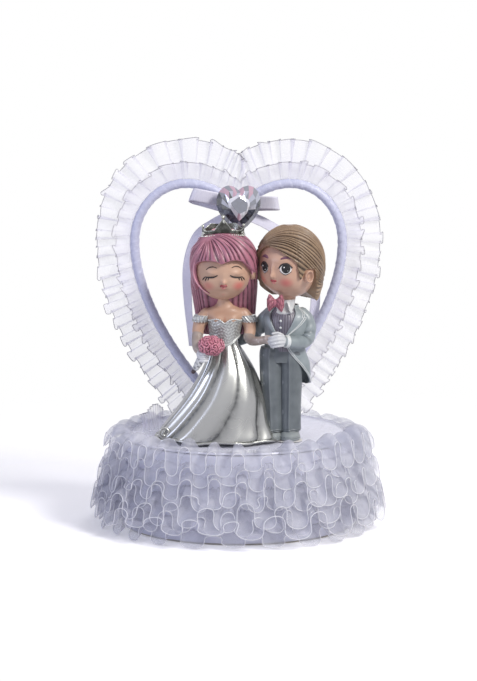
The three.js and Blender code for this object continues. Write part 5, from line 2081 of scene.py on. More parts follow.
def ear(head: Head, name: str, angle: float, z: float, wide: float, tall: float) -> None:
    """An ear with its rim and hollow.

    Args:
        head: The head that it is on.
        name: The piece's name.
        angle: Its azimuth on the head.
        z: Its middle's height.
        wide: Its width.
        tall: Its height.
    """
    middle = head.at(angle, z, 0.3)
    out = unit(middle - np.array([head.centre[0], head.centre[1], z]))
    back = np.array([-out[1], out[0], 0.0])
    if back[1] < 0:
        back = -back
    r = np.linspace(0.02, 1, 16)[:, None]
    t = ring_angles(48)[None, :]
    u = r * np.cos(t) * wide / 2
    w = r * np.sin(t) * tall / 2 * (1 + 0.12 * np.cos(t))
    rim = 1.1 * bump(r, 0.78, 0.2) - 0.2 * bump(r, 0.3, 0.3) - 1.4 * smooth((r - 0.86) / 0.14)
    lift = 0.5 + rim
    points = middle + back * u[..., None] + UP * w[..., None] + out * lift[..., None]
    # Painted shade in the ear's hollow.
    groove = np.clip(bump(r, 0.4, 0.22) * 0.55 + 0 * t, 0, 1)
    part(name, [Surface(points, groove=groove)], head.finish)


@dataclass
class Hand:
    """A gloved hand: a palm and curled fingers."""

    name: str
    palm: Place
    size: Place
    fingers: Sequence[Sequence[Place]]
    radius: float = 0.85

    def make(self, voxel: float, node: str) -> None:
        """Builds the palm and fingers as one casting.

        Args:
            voxel: How finely they are melted together, in millimetres.
            node: The CAD node that the hand replaces.
        """
        parts = [ball(self.palm, self.size, 40, 26)]
        for keys in self.fingers:
            radii = [self.radius * k for k in np.linspace(1.05, 0.85, len(keys))]
            parts.append(limb(keys, radii, 16, 22))
        cast(self.name, parts, voxel, 1, Finishes.WHITE_GLOVE, node)


@dataclass
class Skirt:
    """The gown's skirt: folds that fan from the waist's point and sweep into the train."""

    sections: Sequence[tuple] = (
        (45.45, -10.0, -21, 28.8, 20.2),
        (47.6, -10.0, -21, 28.6, 20.1),
        (54.7, -9.2, -21, 23.6, 18.4),
        (66.2, -6.0, -21, 18.1, 15.8),
        (77.7, -4.9, -21, 12.6, 12.0),
        (86.4, -5.6, -21, 8.4, 7.8),
        (91.5, -6.5, -21, 6.6, 5.8),
        (96.0, -6.5, -21, 6.5, 5.7),
    )
    foot: float = 45.45
    rise: float = 50.5
    folds: int = 7
    sweep_turn: float = 1.05
    depth: float = 1.6
    cord: float = 0.62
    rows: int = 150
    around: int = 400

    def make(self) -> None:
        """Builds the skirt with its thick wavy hem."""

        def phase(t: Array, s: Array) -> Array:
            """Where in a fold each point is.

            Args:
                t: Angles round it.
                s: Shares of the way up.

            Returns:
                The phase, a full turn for each fold.
            """
            fall = 1 - s
            spread = 0.42 * np.sin(t - 3.7) + 0.12 * np.sin(2 * t + 1.0) + 0.06 * np.sin(3 * t + 2.0)
            return self.folds * (t + spread + self.sweep_turn * fall**1.25) + 0.7

        def fold(t: Array, s: Array) -> Array:
            """The folds, deep at the hem and crisp near the waist.

            Args:
                t: Angles round it.
                s: Shares of the way up.

            Returns:
                The height of the folds and of the hem.
            """
            fall = 1 - s
            turn = phase(t, s)
            crest = np.abs(np.cos(turn / 2)) ** 0.75
            second = 0.3 * np.cos(2 * turn + 1.2) * smooth(fall * 1.6)
            uneven = 0.85 + 0.4 * np.sin(2 * t + 0.4) * smooth(fall * 2)
            size = uneven * (0.25 + self.depth * smooth(fall * 1.15) + 0.6 * bump(fall, 0.25, 0.16))
            z = self.foot + self.rise * s
            hem = 0.85 * bump(z, 46.9, 1.0) * (1 + 0.5 * np.cos(turn)) - 0.5 * bump(z, 49.2, 0.9)
            return size * (crest - 0.62 + second * 0.5) * 1.15 + hem

        def groove(t: Array, s: Array) -> Array:
            """Painted shade in the valleys and in the hollow over the hem.

            Args:
                t: Angles round it.
                s: Shares of the way up.

            Returns:
                The painted shade's depth.
            """
            crest = np.abs(np.cos(phase(t, s) / 2)) ** 0.75
            z = self.foot + self.rise * s
            return np.clip(0.9 * (1 - crest) ** 1.9 * smooth((1 - s) * 5) + 0.5 * bump(z, 48.9, 0.5), 0, 1)

        skirt = loft(self.sections, self.rows, self.around, relief=fold, groove=groove)
        t = ring_angles(self.around)[None, :]
        s = np.linspace(0, 1, self.rows)[:, None]
        train = bump(half_turn(t - 3.6), 0.0, 1.1)
        wave = (0.3 + 1.0 * train) * (1 + np.cos(phase(t, s) + 0.5)) * (1 - smooth(s / 0.12))
        skirt.points[..., 2] = np.maximum(skirt.points[..., 2] + wave, 45.2)
        row = 4.0 + 4.2 * (1 + np.cos(phase(t, s)[0] + 0.9)) * (0.35 + 0.65 * train[0])
        low = row.astype(int)
        columns = np.arange(self.around)
        share = (row - low)[:, None]
        edge = skirt.points[low, columns] * (1 - share) + skirt.points[low + 1, columns] * share
        away = unit((edge - np.array([-10.0, -21.0, 0.0])) * np.array([1.0, 1.0, 0.0]))
        edge = edge + away * 0.35
        hem = sweep(spaced(np.vstack([edge, edge[:1]]), 700)[:-1], self.cord, 12, closed=True)
        turn = np.linspace(0, 1, 60)
        a, r = -math.pi / 2 - 3.4 * math.pi * turn * 0.85, 2.9 * (1 - 0.72 * turn)
        curl = np.stack([-35.2 + r * np.cos(a), -30.4 - 1.2 * turn, 49.6 + r * np.sin(a)], axis=-1)
        scroll = sweep(curl, self.cord * (1 - 0.3 * turn), 12)
        part("bride_gown_skirt", [skirt, hem, scroll], Finishes.GOWN, "bride_skirt")


@dataclass
class Bodice:
    """The strapless bodice: brocade, a sweetheart neckline with a beaded edge, and a pointed waist."""

    x: float = -6.5
    y: float = -21.0
    bead: float = 0.42
    sizes: Sequence[tuple] = (
        (89, 6.3, 5.7), (92, 6.4, 5.8), (94, 6.6, 5.9), (97, 7.1, 6.2), (100.5, 7.9, 6.7),
        (103, 8.3, 6.7), (106, 8.4, 6.4),
    )

    def ring(self, z: Array) -> tuple[Array, Array]:
        """Half width and half depth at a height.

        Args:
            z: The height.

        Returns:
            Both half sizes.
        """
        keys = np.array(self.sizes)
        return np.interp(z, keys[:, 0], keys[:, 1]), np.interp(z, keys[:, 0], keys[:, 2])

    def top(self, a: Array) -> Array:
        """The neckline's height by azimuth from the front.

        Args:
            a: The azimuths.

        Returns:
            The heights.
        """
        side = np.abs(half_turn(a))
        cups = 0.9 * bump(side, 0.5, 0.32) - 1.1 * bump(side, 0.0, 0.16)
        return 103.0 + cups - 1.0 * smooth((side - 1.2) / 1.2)

    def foot(self, a: Array) -> Array:
        """The waist's height by azimuth: a point in front, higher at the sides."""
        side = np.abs(half_turn(a - 0.06))
        return 91.4 + 4.2 * smooth(side / 1.5) ** 0.8

    def place(self, a: Array, z: Array, out: float = 0.0) -> Array:
        """Points on the bodice."""
        rx, ry = self.ring(z)
        return oval(self.x, self.y, rx + out, ry + out, a, z)

    def edge(self, height: Callable[[Array], Array], out: float, radius: float) -> Surface:
        """A piping round one of the bodice's edges."""
        a = np.linspace(-math.pi, math.pi, 240, endpoint=False)
        return sweep(self.place(a, height(a), out), radius, 10, closed=True)

    def make(self) -> None:
        """Builds the bodice, its neckline beads and its waist piping."""
        a = np.linspace(-math.pi, math.pi, 220, endpoint=False)[None, :]
        v = np.linspace(0, 1, 60)[:, None]
        low, high = self.foot(a), self.top(a)
        z = low + (high - low) * v
        a2 = a + 0 * v
        points = self.place(a2, z, 0.25)
        stems = np.abs(np.sin(15 * a2 + 1.4 * np.sin(z * 1.7)))
        flowers = stems * np.abs(np.sin(z * 2.1 + 1.2 * np.sin(7 * a2)))
        buds = np.clip(flowers - 0.35, 0, 1)
        shell = Surface(points, caps=False)
        shell.relief(0.2 * buds)
        shell.groove = np.clip(0.75 - 1.9 * flowers, 0, 0.75)
        part("bride_bodice_brocade", [shell], Finishes.LACE, "bride_bodice")
        neck = [self.edge(self.top, 0.3, 0.3)]
        for spot in np.linspace(-2.1, 2.1, 40)[:, None]:
            neck.append(ball(self.place(spot, self.top(spot), 0.35)[0], (self.bead,) * 3, 12, 8))
        part("bride_neckline_beads", neck, Finishes.LACE)
        waist = [self.edge(self.foot, 0.35, 0.42), self.edge(lambda q: self.foot(q) - 0.75, 0.2, 0.26)]
        part("bride_waist_piping", waist, Finishes.LACE, "bride_waistband")


@dataclass
class Tiara:
    """A crown: a rimmed band on the hair, a filled front spike and two side spikes, each with a ball."""

    hair: Hair
    centre: Pair = (-7.3, -22.1)
    half: Pair = (9.2, 6.1)
    rim: float = 1.3
    web: float = 3.2
    front: float = 8.7
    side: float = 5.0

    def top(self, a: Array) -> Array:
        """The crown's height over its band's foot, by azimuth, in concave sweeps between spikes.

        Args:
            a: Azimuths from the front.

        Returns:
            The heights.
        """
        away = np.abs(half_turn(a))
        front = np.clip(1 - away / 0.44, 0, 1) ** 1.05
        side = np.clip(1 - np.abs(away - 1.42) / 0.42, 0, 1) ** 1.3
        rear = np.clip(1 - np.abs(away - 2.5) / 0.4, 0, 1) ** 1.3
        return self.web + (self.front - self.web) * front + (self.side - self.web) * (side + 0.55 * rear)

    def foot(self, x: Array, y: Array) -> Array:
        """The hair's height under the band.

        Args:
            x: Places across.
            y: Places in depth.

        Returns:
            The heights.
        """
        cx, cy, cz = self.hair.centre
        rx, ry, rz = self.hair.radii
        inside = np.clip(1 - ((x - cx) / rx) ** 2 - ((y - cy) / ry) ** 2, 0.02, 1)
        return cz + rz * np.sqrt(inside) - 0.5

    def place(self, a: Array, rise: Array, out: float = 0.0) -> Array:
        """Points on the crown at an azimuth and a height over its foot.

        Args:
            a: Azimuths from the front.
            rise: Heights over the foot.
            out: How far out from the band's middle.

        Returns:
            The points.
        """
        x = self.centre[0] + self.half[0] * np.sin(a)
        y = self.centre[1] - self.half[1] * np.cos(a)
        lean = out + 0.1 * rise
        return np.stack([x + lean * np.sin(a), y - lean * np.cos(a), self.foot(x, y) + rise], axis=-1)

    def make(self) -> None:
        """Builds the walls, rim, edge line and balls."""
        a = np.linspace(-math.pi, math.pi, 360, endpoint=False)[None, :]
        v = np.linspace(0, 1, 40)[:, None]
        rise = v * self.top(a)
        grooves = np.abs(np.sin(10 * a)) * smooth((rise - self.rim) / 0.5) * (1 - smooth((v - 0.82) / 0.1))
        outer = self.place(a + 0 * v, rise, 0.5)
        inner = self.place(a + 0 * v, rise, -0.3)[::-1]
        wall = Surface(np.vstack([outer, inner]), closed_rows=True, caps=False, flip=True)
        proud = 0.42 * (1 - smooth((rise - self.rim) / 0.25)) + 0.25 * smooth((v - 0.86) / 0.08)
        wall.relief(np.vstack([proud - 0.12 * grooves, 0 * rise]))
        dark = 0.1 + 0.8 * smooth((rise - self.rim) / 0.3) * (1 - smooth((v - 0.84) / 0.08))
        wall.groove = np.vstack([dark, 0.7 + 0 * rise])
        parts = [wall]
        for angle, height, size in ((0.0, self.front, 1.0), (-1.42, self.side, 0.8), (1.42, self.side, 0.8)):
            tip = self.place(np.array(angle), np.array(height + size * 0.5), 0.1)
            parts.append(ball(tip, (size,) * 3, 26, 18))
            side = np.sign(angle) if angle else 0
            if side:
                curl = [(angle - side * 0.34, height * 0.42), (angle - side * 0.2, height * 0.5)]
                curl += [(angle - side * 0.12, height * 0.36), (angle - side * 0.22, height * 0.3)]
                path = np.array([self.place(np.array(p), np.array(q), 0.75) for p, q in spline(curl, 26)])
                parts.append(sweep(path, 0.42, 12))
        for spot in np.linspace(-2.4, 2.4, 40):
            parts.append(ball(self.place(np.array(spot), np.array(0.62), 0.95), (0.42,) * 3, 10, 7))
        part("bride_tiara_silver", parts, Finishes.SILVER, "bride_tiara")


@dataclass
class Bouquet:
    """A ball of roses on a wrapped handle."""

    centre: Place = (-12.9, -33.3, 92.2)
    radius: float = 6.3
    rose: float = 2.55
    count: int = 24
    spiral: float = 2.39996

    def blossom(self, centre: Array, way: Array, size: float, turn: float) -> Surface:
        """One rose whose petals wind out from its middle.

        Args:
            centre: Its middle.
            way: The direction that it faces.
            size: Its radius.
            turn: How far its petals are wound on, in turns.

        Returns:
            The rose.
        """
        side = unit(np.cross(way, np.array([0.2, 0.1, 1.0])))
        up = np.cross(side, way)
        v = np.linspace(0.03, 1, 24)[:, None]
        t = ring_angles(40)[None, :]
        petal = ridges(2.9 * v - t / TURN + turn, 1.4)
        r = size * np.sin(v * 1.75) * (1 + 0.1 * np.cos(5 * t + 9 * v))
        lift = size * (0.62 * np.cos(v * 1.9) + 0.3 * (petal - 0.5))
        x = (r * np.cos(t))[..., None]
        y = (r * np.sin(t))[..., None]
        points = centre + side * x + up * y + way * lift[..., None]
        return Surface(
            points, groove=np.clip((1 - petal) ** 1.1 * 1.5 + 0.25 * smooth(v * 2 - 1), 0, 1) + 0 * r
        )

    def make(self) -> None:
        """Builds the roses and the handle."""
        rng = np.random.default_rng(11)
        middle = np.array(self.centre)
        roses = [ball(middle, (self.radius * 0.72, self.radius * 0.7, self.radius * 0.55), 30, 20)]
        for k in range(self.count):
            z = 1 - 2 * (k + 0.5) / self.count
            a = k * self.spiral
            way = np.array([math.sqrt(1 - z * z) * math.cos(a), -z, math.sqrt(1 - z * z) * math.sin(a)])
            if way[1] > 0.35:
                continue
            spot = middle + way * np.array([1.04, 0.8, 0.68]) * (self.radius * 0.72)
            roses.append(self.blossom(spot, way, self.rose * rng.uniform(0.88, 1.08), rng.uniform()))
        part("bouquet_roses", roses, Finishes.ROSE, "bouquet_flowers")
        path = spaced(np.array([(-15.9, -33.0, 88.6), (-18.2, -32.6, 85.0), (-20.2, -31.8, 81.4)]), 60)
        radii = np.interp(np.linspace(0, 1, 60), [0, 0.75, 1], [2.1, 1.75, 1.5])
        handle = sweep(path, radii, 40)
        run = np.linspace(0, 4.2, handle.points.shape[0])[:, None] + ring_angles(40)[None, :] / TURN * 0.6
        wrap = ridges(run, 2.0)
        handle.relief(0.28 * (wrap - 0.5))
        handle.groove = np.clip((1 - wrap) ** 1.1 * 1.5, 0, 1)
        part("bouquet_wrapped_handle", [handle], Finishes.WHITE, "bouquet_handle")
        tip = sweep(spaced(np.array([(-20.4, -31.6, 80.9), (-21.6, -31.2, 79.2)]), 8), 1.0, 20)
        part("bouquet_stem_end", [tip], Finishes.STEM)


@dataclass
class Bride:
    """The bride, gown and all."""

    head_centre: Place = (-7.4, -21.0, 129.3)
    head_radii: Place = (14.6, 14.8, 16.7)

    def head(self) -> Head:
        """Head, closed eyes, brows, lips and an ear.

        Returns:
            The head, for what is set on it.
        """
        swells = (
            Swell(0.03, 122.9, 1.15, 1.15, 1.55),
            Swell(0.03, 125.2, 1.4, 2.4, 0.25),
            Swell(-0.58, 120.6, 4.6, 4.0, 0.9),
            Swell(0.62, 120.6, 4.6, 4.0, 0.9),
            Swell(-0.39, 127.2, 2.6, 1.2, 0.7),
            Swell(0.455, 127.2, 2.6, 1.2, 0.7),
            Swell(-0.39, 125.0, 3.4, 1.0, -0.35),
            Swell(0.455, 125.0, 3.4, 1.0, -0.35),
            Swell(0.02, 120.4, 2.2, 1.6, 0.55),
            Swell(0.02, 118.2, 2.0, 0.6, -0.3),
            Swell(0.02, 115.6, 2.6, 1.6, 0.6),
        )
        centre, radii = self.head_centre, self.head_radii
        head = Head("bride_face", "bride_head", centre, radii, 0.0, Finishes.BRIDE_SKIN, swells)
        head.make()
        lids = lash(head, -1, -0.39, 125.4) + lash(head, 1, 0.455, 125.4)
        part("bride_lashes", lids, Finishes.LASH)
        brows = [
            head.stroke([(-0.57, 128.7), (-0.46, 129.8), (-0.32, 130.2), (-0.2, 129.7)], 0.28, 0.03, 0.6),
            head.stroke([(0.29, 129.8), (0.4, 130.4), (0.54, 130.1), (0.66, 128.9)], 0.28, 0.03, 0.6),
        ]
        part("bride_brows", brows, Finishes.BROW)
        upper = [(-0.085, 120.75), (-0.03, 121.2), (0.025, 120.95), (0.08, 121.2), (0.135, 120.75)]
        part("bride_upper_lip", [head.stroke(upper, 0.8, 0.25, 0.7)], Finishes.LIPS)
        part("bride_lower_lip", [head.patch(0.025, 119.9, 1.15, 0.6, 0.5)], Finishes.LOWER_LIP)
        ear(head, "bride_ear", 1.3, 125.2, 3.4, 5.0)
        return head

    def hair(self) -> Hair:
        """Long hair, the cap over the head and the swept fringe.

        Returns:
            The cap, which carries the crown.
        """
        sections = [
            (94.9, -6.4, -12.6, 8.0, 3.6),
            (95.6, -6.4, -12.7, 12.4, 5.6),
            (97.6, -6.4, -12.9, 13.6, 6.4),
            (104, -6.3, -13.2, 14.2, 6.9),
            (112, -6.6, -14.4, 15.1, 8.2),
            (119, -6.9, -16.2, 15.8, 10.6),
            (125, -7.0, -18.0, 15.6, 13.0),
        ]

        def strand(t: Array, s: Array) -> Array:
            """The fall's strands."""
            return ridges(t * 30 / TURN + 0.5 * np.sin(2.2 * s + 3 * t) + 0.35 * np.sin(5 * t), 1.7)

        def carved(t: Array, s: Array) -> Array:
            """The strands and the broader locks under them."""
            broad = ridges(t * 11 / TURN + 0.3 * s, 2.0)
            return 0.5 * (strand(t, s) - 0.6) + 0.35 * (broad - 0.6)

        def wash(t: Array, s: Array) -> Array:
            """Wash between the strands, and the whole fall a little darker."""
            return np.clip((1 - strand(t, s)) ** 1.2 * 1.2 + 0.25, 0, 1)

        fall = loft(sections, 110, 360, relief=carved, groove=wash, power=0.85)
        part("bride_hair_fall", [fall], Finishes.HAIR_PINK, "bride_long_hair")
        edge = [
            (-180, 117), (-100, 117), (-84, 117.4), (-74, 118), (-67, 121), (-62, 126), (-56, 131),
            (-46, 135), (-20, 138), (20, 139), (36, 136.5), (44, 132.5), (52, 129), (62, 127.4),
            (74, 127.2), (84, 122), (96, 118), (110, 117), (180, 117),
        ]
        parting = (-14.0, 143.8)
        cap = Hair(
            "bride_hair_crown", "bride_hair_cap", Finishes.HAIR_PINK, (-6.9, -20.4, 130.1),
            (16.3, 16.6, 16.4), edge, parting, strands=46, depth=0.5,
        )
        cap.make()
        fringe_edge = [
            (-66, 127), (-56, 130.4), (-48, 132.2), (-34, 133.2), (-22, 133.4), (-12, 133.1), (-3, 132.0),
            (3, 132.7), (12, 133.6), (22, 133.8), (34, 133.0), (44, 131.0), (54, 128.6), (64, 126.6),
        ]
        fringe = Hair(
            "bride_hair_fringe", "bride_fringe", Finishes.HAIR_PINK, (-7.1, -20.9, 130.0), (16.7, 17.2, 17.0),
            fringe_edge, parting, strands=30, depth=0.7, lock_depth=0.6, thickness=2.4, seed=8,
            span=(-66.0, 64.0), top=0.3, curl=0.3,
        )
        fringe.make()
        self.locks(fringe)
        return cap

    def locks(self, fringe: Hair) -> None:
        """Raised strands over the fringe, and the locks that hug the face with a line along each; the strands
        and lines are a lighter pink, as painted highlight.

        Args:
            fringe: The fringe that the strands lie on.
        """
        strands = []
        for k in range(18):
            turn = TURN * (k + 0.35 * math.sin(2.7 * k)) / 18
            start = 0.22 + 0.06 * math.sin(1.9 * k)
            path = fringe.along(turn, (start, start + 0.8 + 0.25 * math.sin(3.1 * k)), 0.05)
            if path[:, 2].min() < 134.5 or path[:, 1].max() > -17:
                path = path[(path[:, 2] > 134.5) & (path[:, 1] < -17)]
            if len(path) < 12:
                continue
            taper = np.sin(np.linspace(0.12, math.pi - 0.12, len(path)))
            strands.append(sweep(path, 0.26 * taper, 8, flat=0.7))
        part("bride_fringe_highlight_strands", strands, Finishes.HAIR_HIGHLIGHT)
        face = Head("face", "", self.head_centre, self.head_radii, 0.0, Finishes.BRIDE_SKIN)
        sides = {
            "left": [
                (-0.82, 137.5), (-0.98, 132.5), (-1.06, 127.5), (-1.04, 122.8), (-0.9, 119.2),
                (-0.66, 116.6)
            ],
            "right": [(0.84, 136.5), (0.98, 132.5), (1.05, 128.6), (1.1, 125.8)],
        }
        for name, keys in sides.items():
            parts = []
            for offset, out, size in ((0.0, 1.0, 1.5), (-0.12, 0.9, 1.3), (-0.24, 0.5, 1.2)):
                way = 1 if name == "right" else -1
                angle, z = spline(keys, 60).T
                share = np.linspace(0, 1, 60)
                path = face.at(angle - way * offset * (1 - 0.8 * share), z, out)
                taper = np.minimum(1.0, 1.25 * (1 - share) ** 0.7 + 0.12)
                parts.append(sweep(path, size * taper, 18, flat=0.75))
            part(f"bride_{name}_lock", parts, Finishes.HAIR_PINK)
            rim = spline(keys, 60)
            path = face.at(rim[:, 0] * 0.955, rim[:, 1], 1.9)
            taper = 0.3 + 0.7 * np.sin(np.linspace(0.2, math.pi - 0.1, 60))
            part(f"bride_{name}_lock_highlight", [sweep(path, 0.4 * taper, 8)], Finishes.HAIR_HIGHLIGHT)

    def body(self) -> None:
        """Shoulders, arms, gloves and the lace bands."""
        bust = [
            (100.5, -6.5, -21, 7.4, 5.6), (103, -6.5, -21, 8.8, 5.9), (105.4, -6.5, -20.8, 10.1, 5.6),
            (107.4, -6.6, -20.6, 9.4, 4.9), (108.9, -6.7, -20.6, 6.6, 4.2), (110.2, -6.8, -20.8, 4.3, 3.7),
            (112.4, -7.0, -21, 3.4, 3.4), (116, -7.2, -21, 3.5, 3.5),
        ]

        def swell(t: Array, s: Array) -> Array:
            """The neckline's two swells and the hollow over them.

            Args:
                t: Angles round it.
                s: Shares of the way up.

            Returns:
                The height of the carving.
            """
            a = half_turn(t + math.pi / 2)
            z = 100.5 + 15.5 * s
            chest = 1.15 * (bump(a, -0.42, 0.3) + bump(a, 0.42, 0.3)) * bump(z, 103.6, 2.3)
            return chest + 0.25 * bump(np.abs(a), 0.55, 0.4) * bump(z, 108.6, 0.9)

        chest = loft(bust, 80, 120, relief=swell)
        arms = [
            [(-15.3, -20.6, 105.6), (-17.9, -20.9, 102.2), (-19.2, -21.4, 98.4), (-19.5, -22.2, 94.6)],
            [(2.3, -20.6, 105.6), (4.7, -21.0, 102.2), (5.5, -21.8, 98.4), (5.0, -23.6, 94.4)],
        ]
        arms = [limb(keys, [3.1, 3.2, 2.9, 2.5]) for keys in arms]
        nodes = ["bride_bust", "bride_right_arm", "bride_left_arm"]
        cast("bride_shoulders", [chest, *arms], 0.42, 2, Finishes.BRIDE_SKIN, *nodes)
        keys = [(-19.6, -22.6, 95.6), (-19.9, -25.6, 92.6), (-19.6, -28.6, 90.2), (-18.4, -30.6, 88.8)]
        right = [limb(keys, [2.7, 2.5, 2.2, 1.9])]
        grip = [ball((-17.8, -31.6, 87.8), (2.3, 1.9, 2.3), 30, 20)]
        for k in range(4):
            z = 88.9 - 1.15 * k
            keys = [(-19.2, -31.2, z), (-18.6, -33.6, z - 0.3)]
            keys += [(-16.6, -34.6, z - 0.5), (-14.9, -33.9, z - 0.4)]
            grip.append(sweep(spline(keys, 20), 0.72, 14))
        keys = [(4.9, -23.2, 95.0), (6.2, -26.4, 93.6), (9.0, -29.8, 93.8), (12.2, -32.2, 94.8)]
        palm = ball((14.4, -33.4, 95.3), (2.8, 1.9, 2.1), 30, 20)
        left = [limb(keys, [2.7, 2.4, 2.1, 1.9]), palm]
        for k in range(4):
            z = 96.4 - 1.05 * k
            keys = [(13.0, -33.8, z + 0.5), (15.4, -34.8, z), (17.6, -34.6, z - 0.5)]
            left.append(sweep(spline(keys, 18), 0.66, 14))
        cast("bride_right_forearm", right, 0.3, 1, Finishes.GLOVE, "bride_right_glove")
        part("bride_right_grip", grip, Finishes.WHITE_GLOVE)
        cast("bride_left_hand", left, 0.3, 1, Finishes.GLOVE, "bride_left_glove")

        def frill(t: Array, s: Array) -> Array:
            """Scallops along both of a band's edges."""
            edge = 0.28 * np.abs(np.sin(8 * t)) * (0.3 + np.abs(2 * s - 1))
            return edge + 0.16 * np.sin(16 * t + 8 * s)

        def holes(t: Array, s: Array) -> Array:
            """Wash in the lace's holes."""
            threads = 1.6 * np.abs(np.sin(8 * t + 3 * s)) * np.abs(np.sin(6 * s + 1))
            return np.clip(0.8 - threads, 0, 0.8)

        for name, side, x in (("right", -1, -17.3), ("left", 1, 4.2)):
            band = [
                (102.1, x + side * 0.9, -21.1, 3.7, 3.6), (102.7, x + side * 0.75, -21.1, 3.95, 3.85),
                (104.1, x + side * 0.1, -20.9, 4.05, 3.95), (105.1, x - side * 0.4, -20.8, 3.85, 3.7),
            ]
            made = loft(band, 30, 160, relief=frill, groove=holes)
            part(f"bride_{name}_lace_band", [made], Finishes.LACE, f"bride_{name}_sleeve")

    def make(self) -> None:
        """Builds the bride."""
        self.head()
        cap = self.hair()
        Tiara(cap).make()
        self.body()
        Bodice().make()
        Skirt().make()
        Bouquet().make()


@dataclass
class Jacket:
    """The tailcoat: an open shell round the chest, cut away in front, with piped lapels."""

    facing: float = -0.22
    sections: Sequence[tuple] = (
        (70.6, 23.6, -18.2, 10.8, 6.6),
        (75.0, 23.4, -18.8, 11.3, 7.0),
        (81.0, 22.9, -20.2, 11.2, 7.4),
        (87.0, 22.0, -21.2, 10.0, 7.2),
        (92.0, 22.2, -21.8, 9.4, 7.0),
        (97.0, 22.6, -21.9, 9.8, 7.1),
        (102.0, 22.8, -21.7, 10.4, 7.1),
        (105.0, 22.8, -21.4, 10.2, 6.6),
        (107.4, 22.7, -21.2, 8.0, 5.6),
        (109.2, 22.7, -20.9, 5.9, 5.0),
        (111.2, 23.1, -20.6, 5.6, 5.0),
        (112.6, 23.3, -20.5, 5.5, 4.9),
    )
    opening: Sequence[tuple] = (
        (70.6, 2.5), (72.0, 1.8), (75.0, 1.38), (79.0, 1.06), (83.0, 0.8), (87.0, 0.56), (90.0, 0.36),
        (92.4, 0.24), (94.5, 0.2), (97.0, 0.26), (101.0, 0.46), (105.0, 0.62), (109.2, 0.95),
        (112.6, 1.35),
    )
    lapel_width: Sequence[tuple] = (
        (95.6, 0.02), (97, 0.12), (100, 0.34), (103.2, 0.58), (104.4, 0.68), (104.7, 0.5),
        (106.6, 0.6), (109.0, 0.5),
    )
    thickness: float = 0.55
    seam: float = 2.3

    def half(self, z: Array) -> Array:
        """The opening's half angle at a height."""
        keys = np.array(self.opening)
        return np.interp(z, keys[:, 0], keys[:, 1])

    def place(self, angle: Array, z: Array, out: float = 0.0) -> Array:
        """Points on the jacket at an angle from its front.

        Args:
            angle: Angles from the jacket's front.
            z: Heights.
            out: How far out from the cloth.

        Returns:
            The points.
        """
        angle, z = np.broadcast_arrays(np.asarray(angle, float), np.asarray(z, float))
        keys = spline(self.sections, 200)
        x, y, rx, ry = (np.interp(z, keys[:, 0], keys[:, k]) for k in (1, 2, 3, 4))
        a = angle + self.facing
        return oval(x, y, rx + out, ry + out, a, z)

    def body(self) -> None:
        """The shell and the piping along its edge."""
        z = np.linspace(70.8, 110.2, 120)[:, None]
        k = np.linspace(0, 1, 180)[None, :]
        start = self.half(z)
        angle = start + (TURN - 2 * start) * k
        points = self.place(angle, z + 0 * k)
        shell = Surface(points, closed=False)
        side = half_turn(angle)
        crease = 0.35 * np.sin(3.2 * side + 0.16 * z) * smooth((92 - z) / 8)
        shell.relief(crease - 0.28 * bump(np.abs(side), self.seam, 0.04))
        # Darker along the side seams and towards the coat's lower edge.
        wash = 0.75 * bump(np.abs(side), self.seam, 0.05) + 0.3 * smooth((76 - z) / 6)
        shell.groove = np.clip(wash, 0, 1) + 0 * angle
        leaf("groom_tailcoat", shell, self.thickness, 0, Finishes.SUIT, "groom_jacket")
        rows = np.linspace(71.0, 94.0, 70)
        pipes = []
        for sign in (-1, 1):
            for out, inset in ((0.35, 0.0), (0.35, 0.09)):
                path = self.place(sign * (self.half(rows) + inset), rows, out)
                pipes.append(sweep(path, 0.17, 8))
        part("groom_coat_piping", pipes, Finishes.PIPING)

    def lapel(self, name: str, sign: int) -> None:
        """One lapel with double piping along its outer edge.

        Args:
            name: Left or right.
            sign: 1 for left and -1 for right.
        """
        z = np.concatenate([np.linspace(95.6, 104.4, 36), np.linspace(104.7, 109.0, 22)])
        wide = np.interp(z, *np.array(self.lapel_width).T)
        k = np.linspace(0, 1, 16)[:, None]
        inner = self.half(z)[None, :] - 0.03
        angle = sign * (inner + wide[None, :] * k)
        height = 0.55 + 0.25 * np.sin(k * math.pi)
        base = self.place(angle, z[None, :] + 0 * k)
        away = unit(self.place(angle, z[None, :] + 0 * k, 1.0) - base)
        points = base + away * height[..., None]
        face = Surface(points, closed=False, flip=sign > 0)
        leaf(f"groom_lapel_{name}", face, LAPEL_THICKNESS, -sign, Finishes.SUIT, f"groom_{name}_lapel")
        paths = [self.place(sign * (self.half(z) + wide * share), z, 0.78) for share in (0.96, 0.72)]
        pipes = [sweep(path, 0.16, 8) for path in paths]
        part(f"groom_lapel_{name}_piping", pipes, Finishes.PIPING)

    def make(self) -> None:
        """Builds the coat and its lapels."""
        self.body()
        self.lapel("left", 1)
        self.lapel("right", -1)


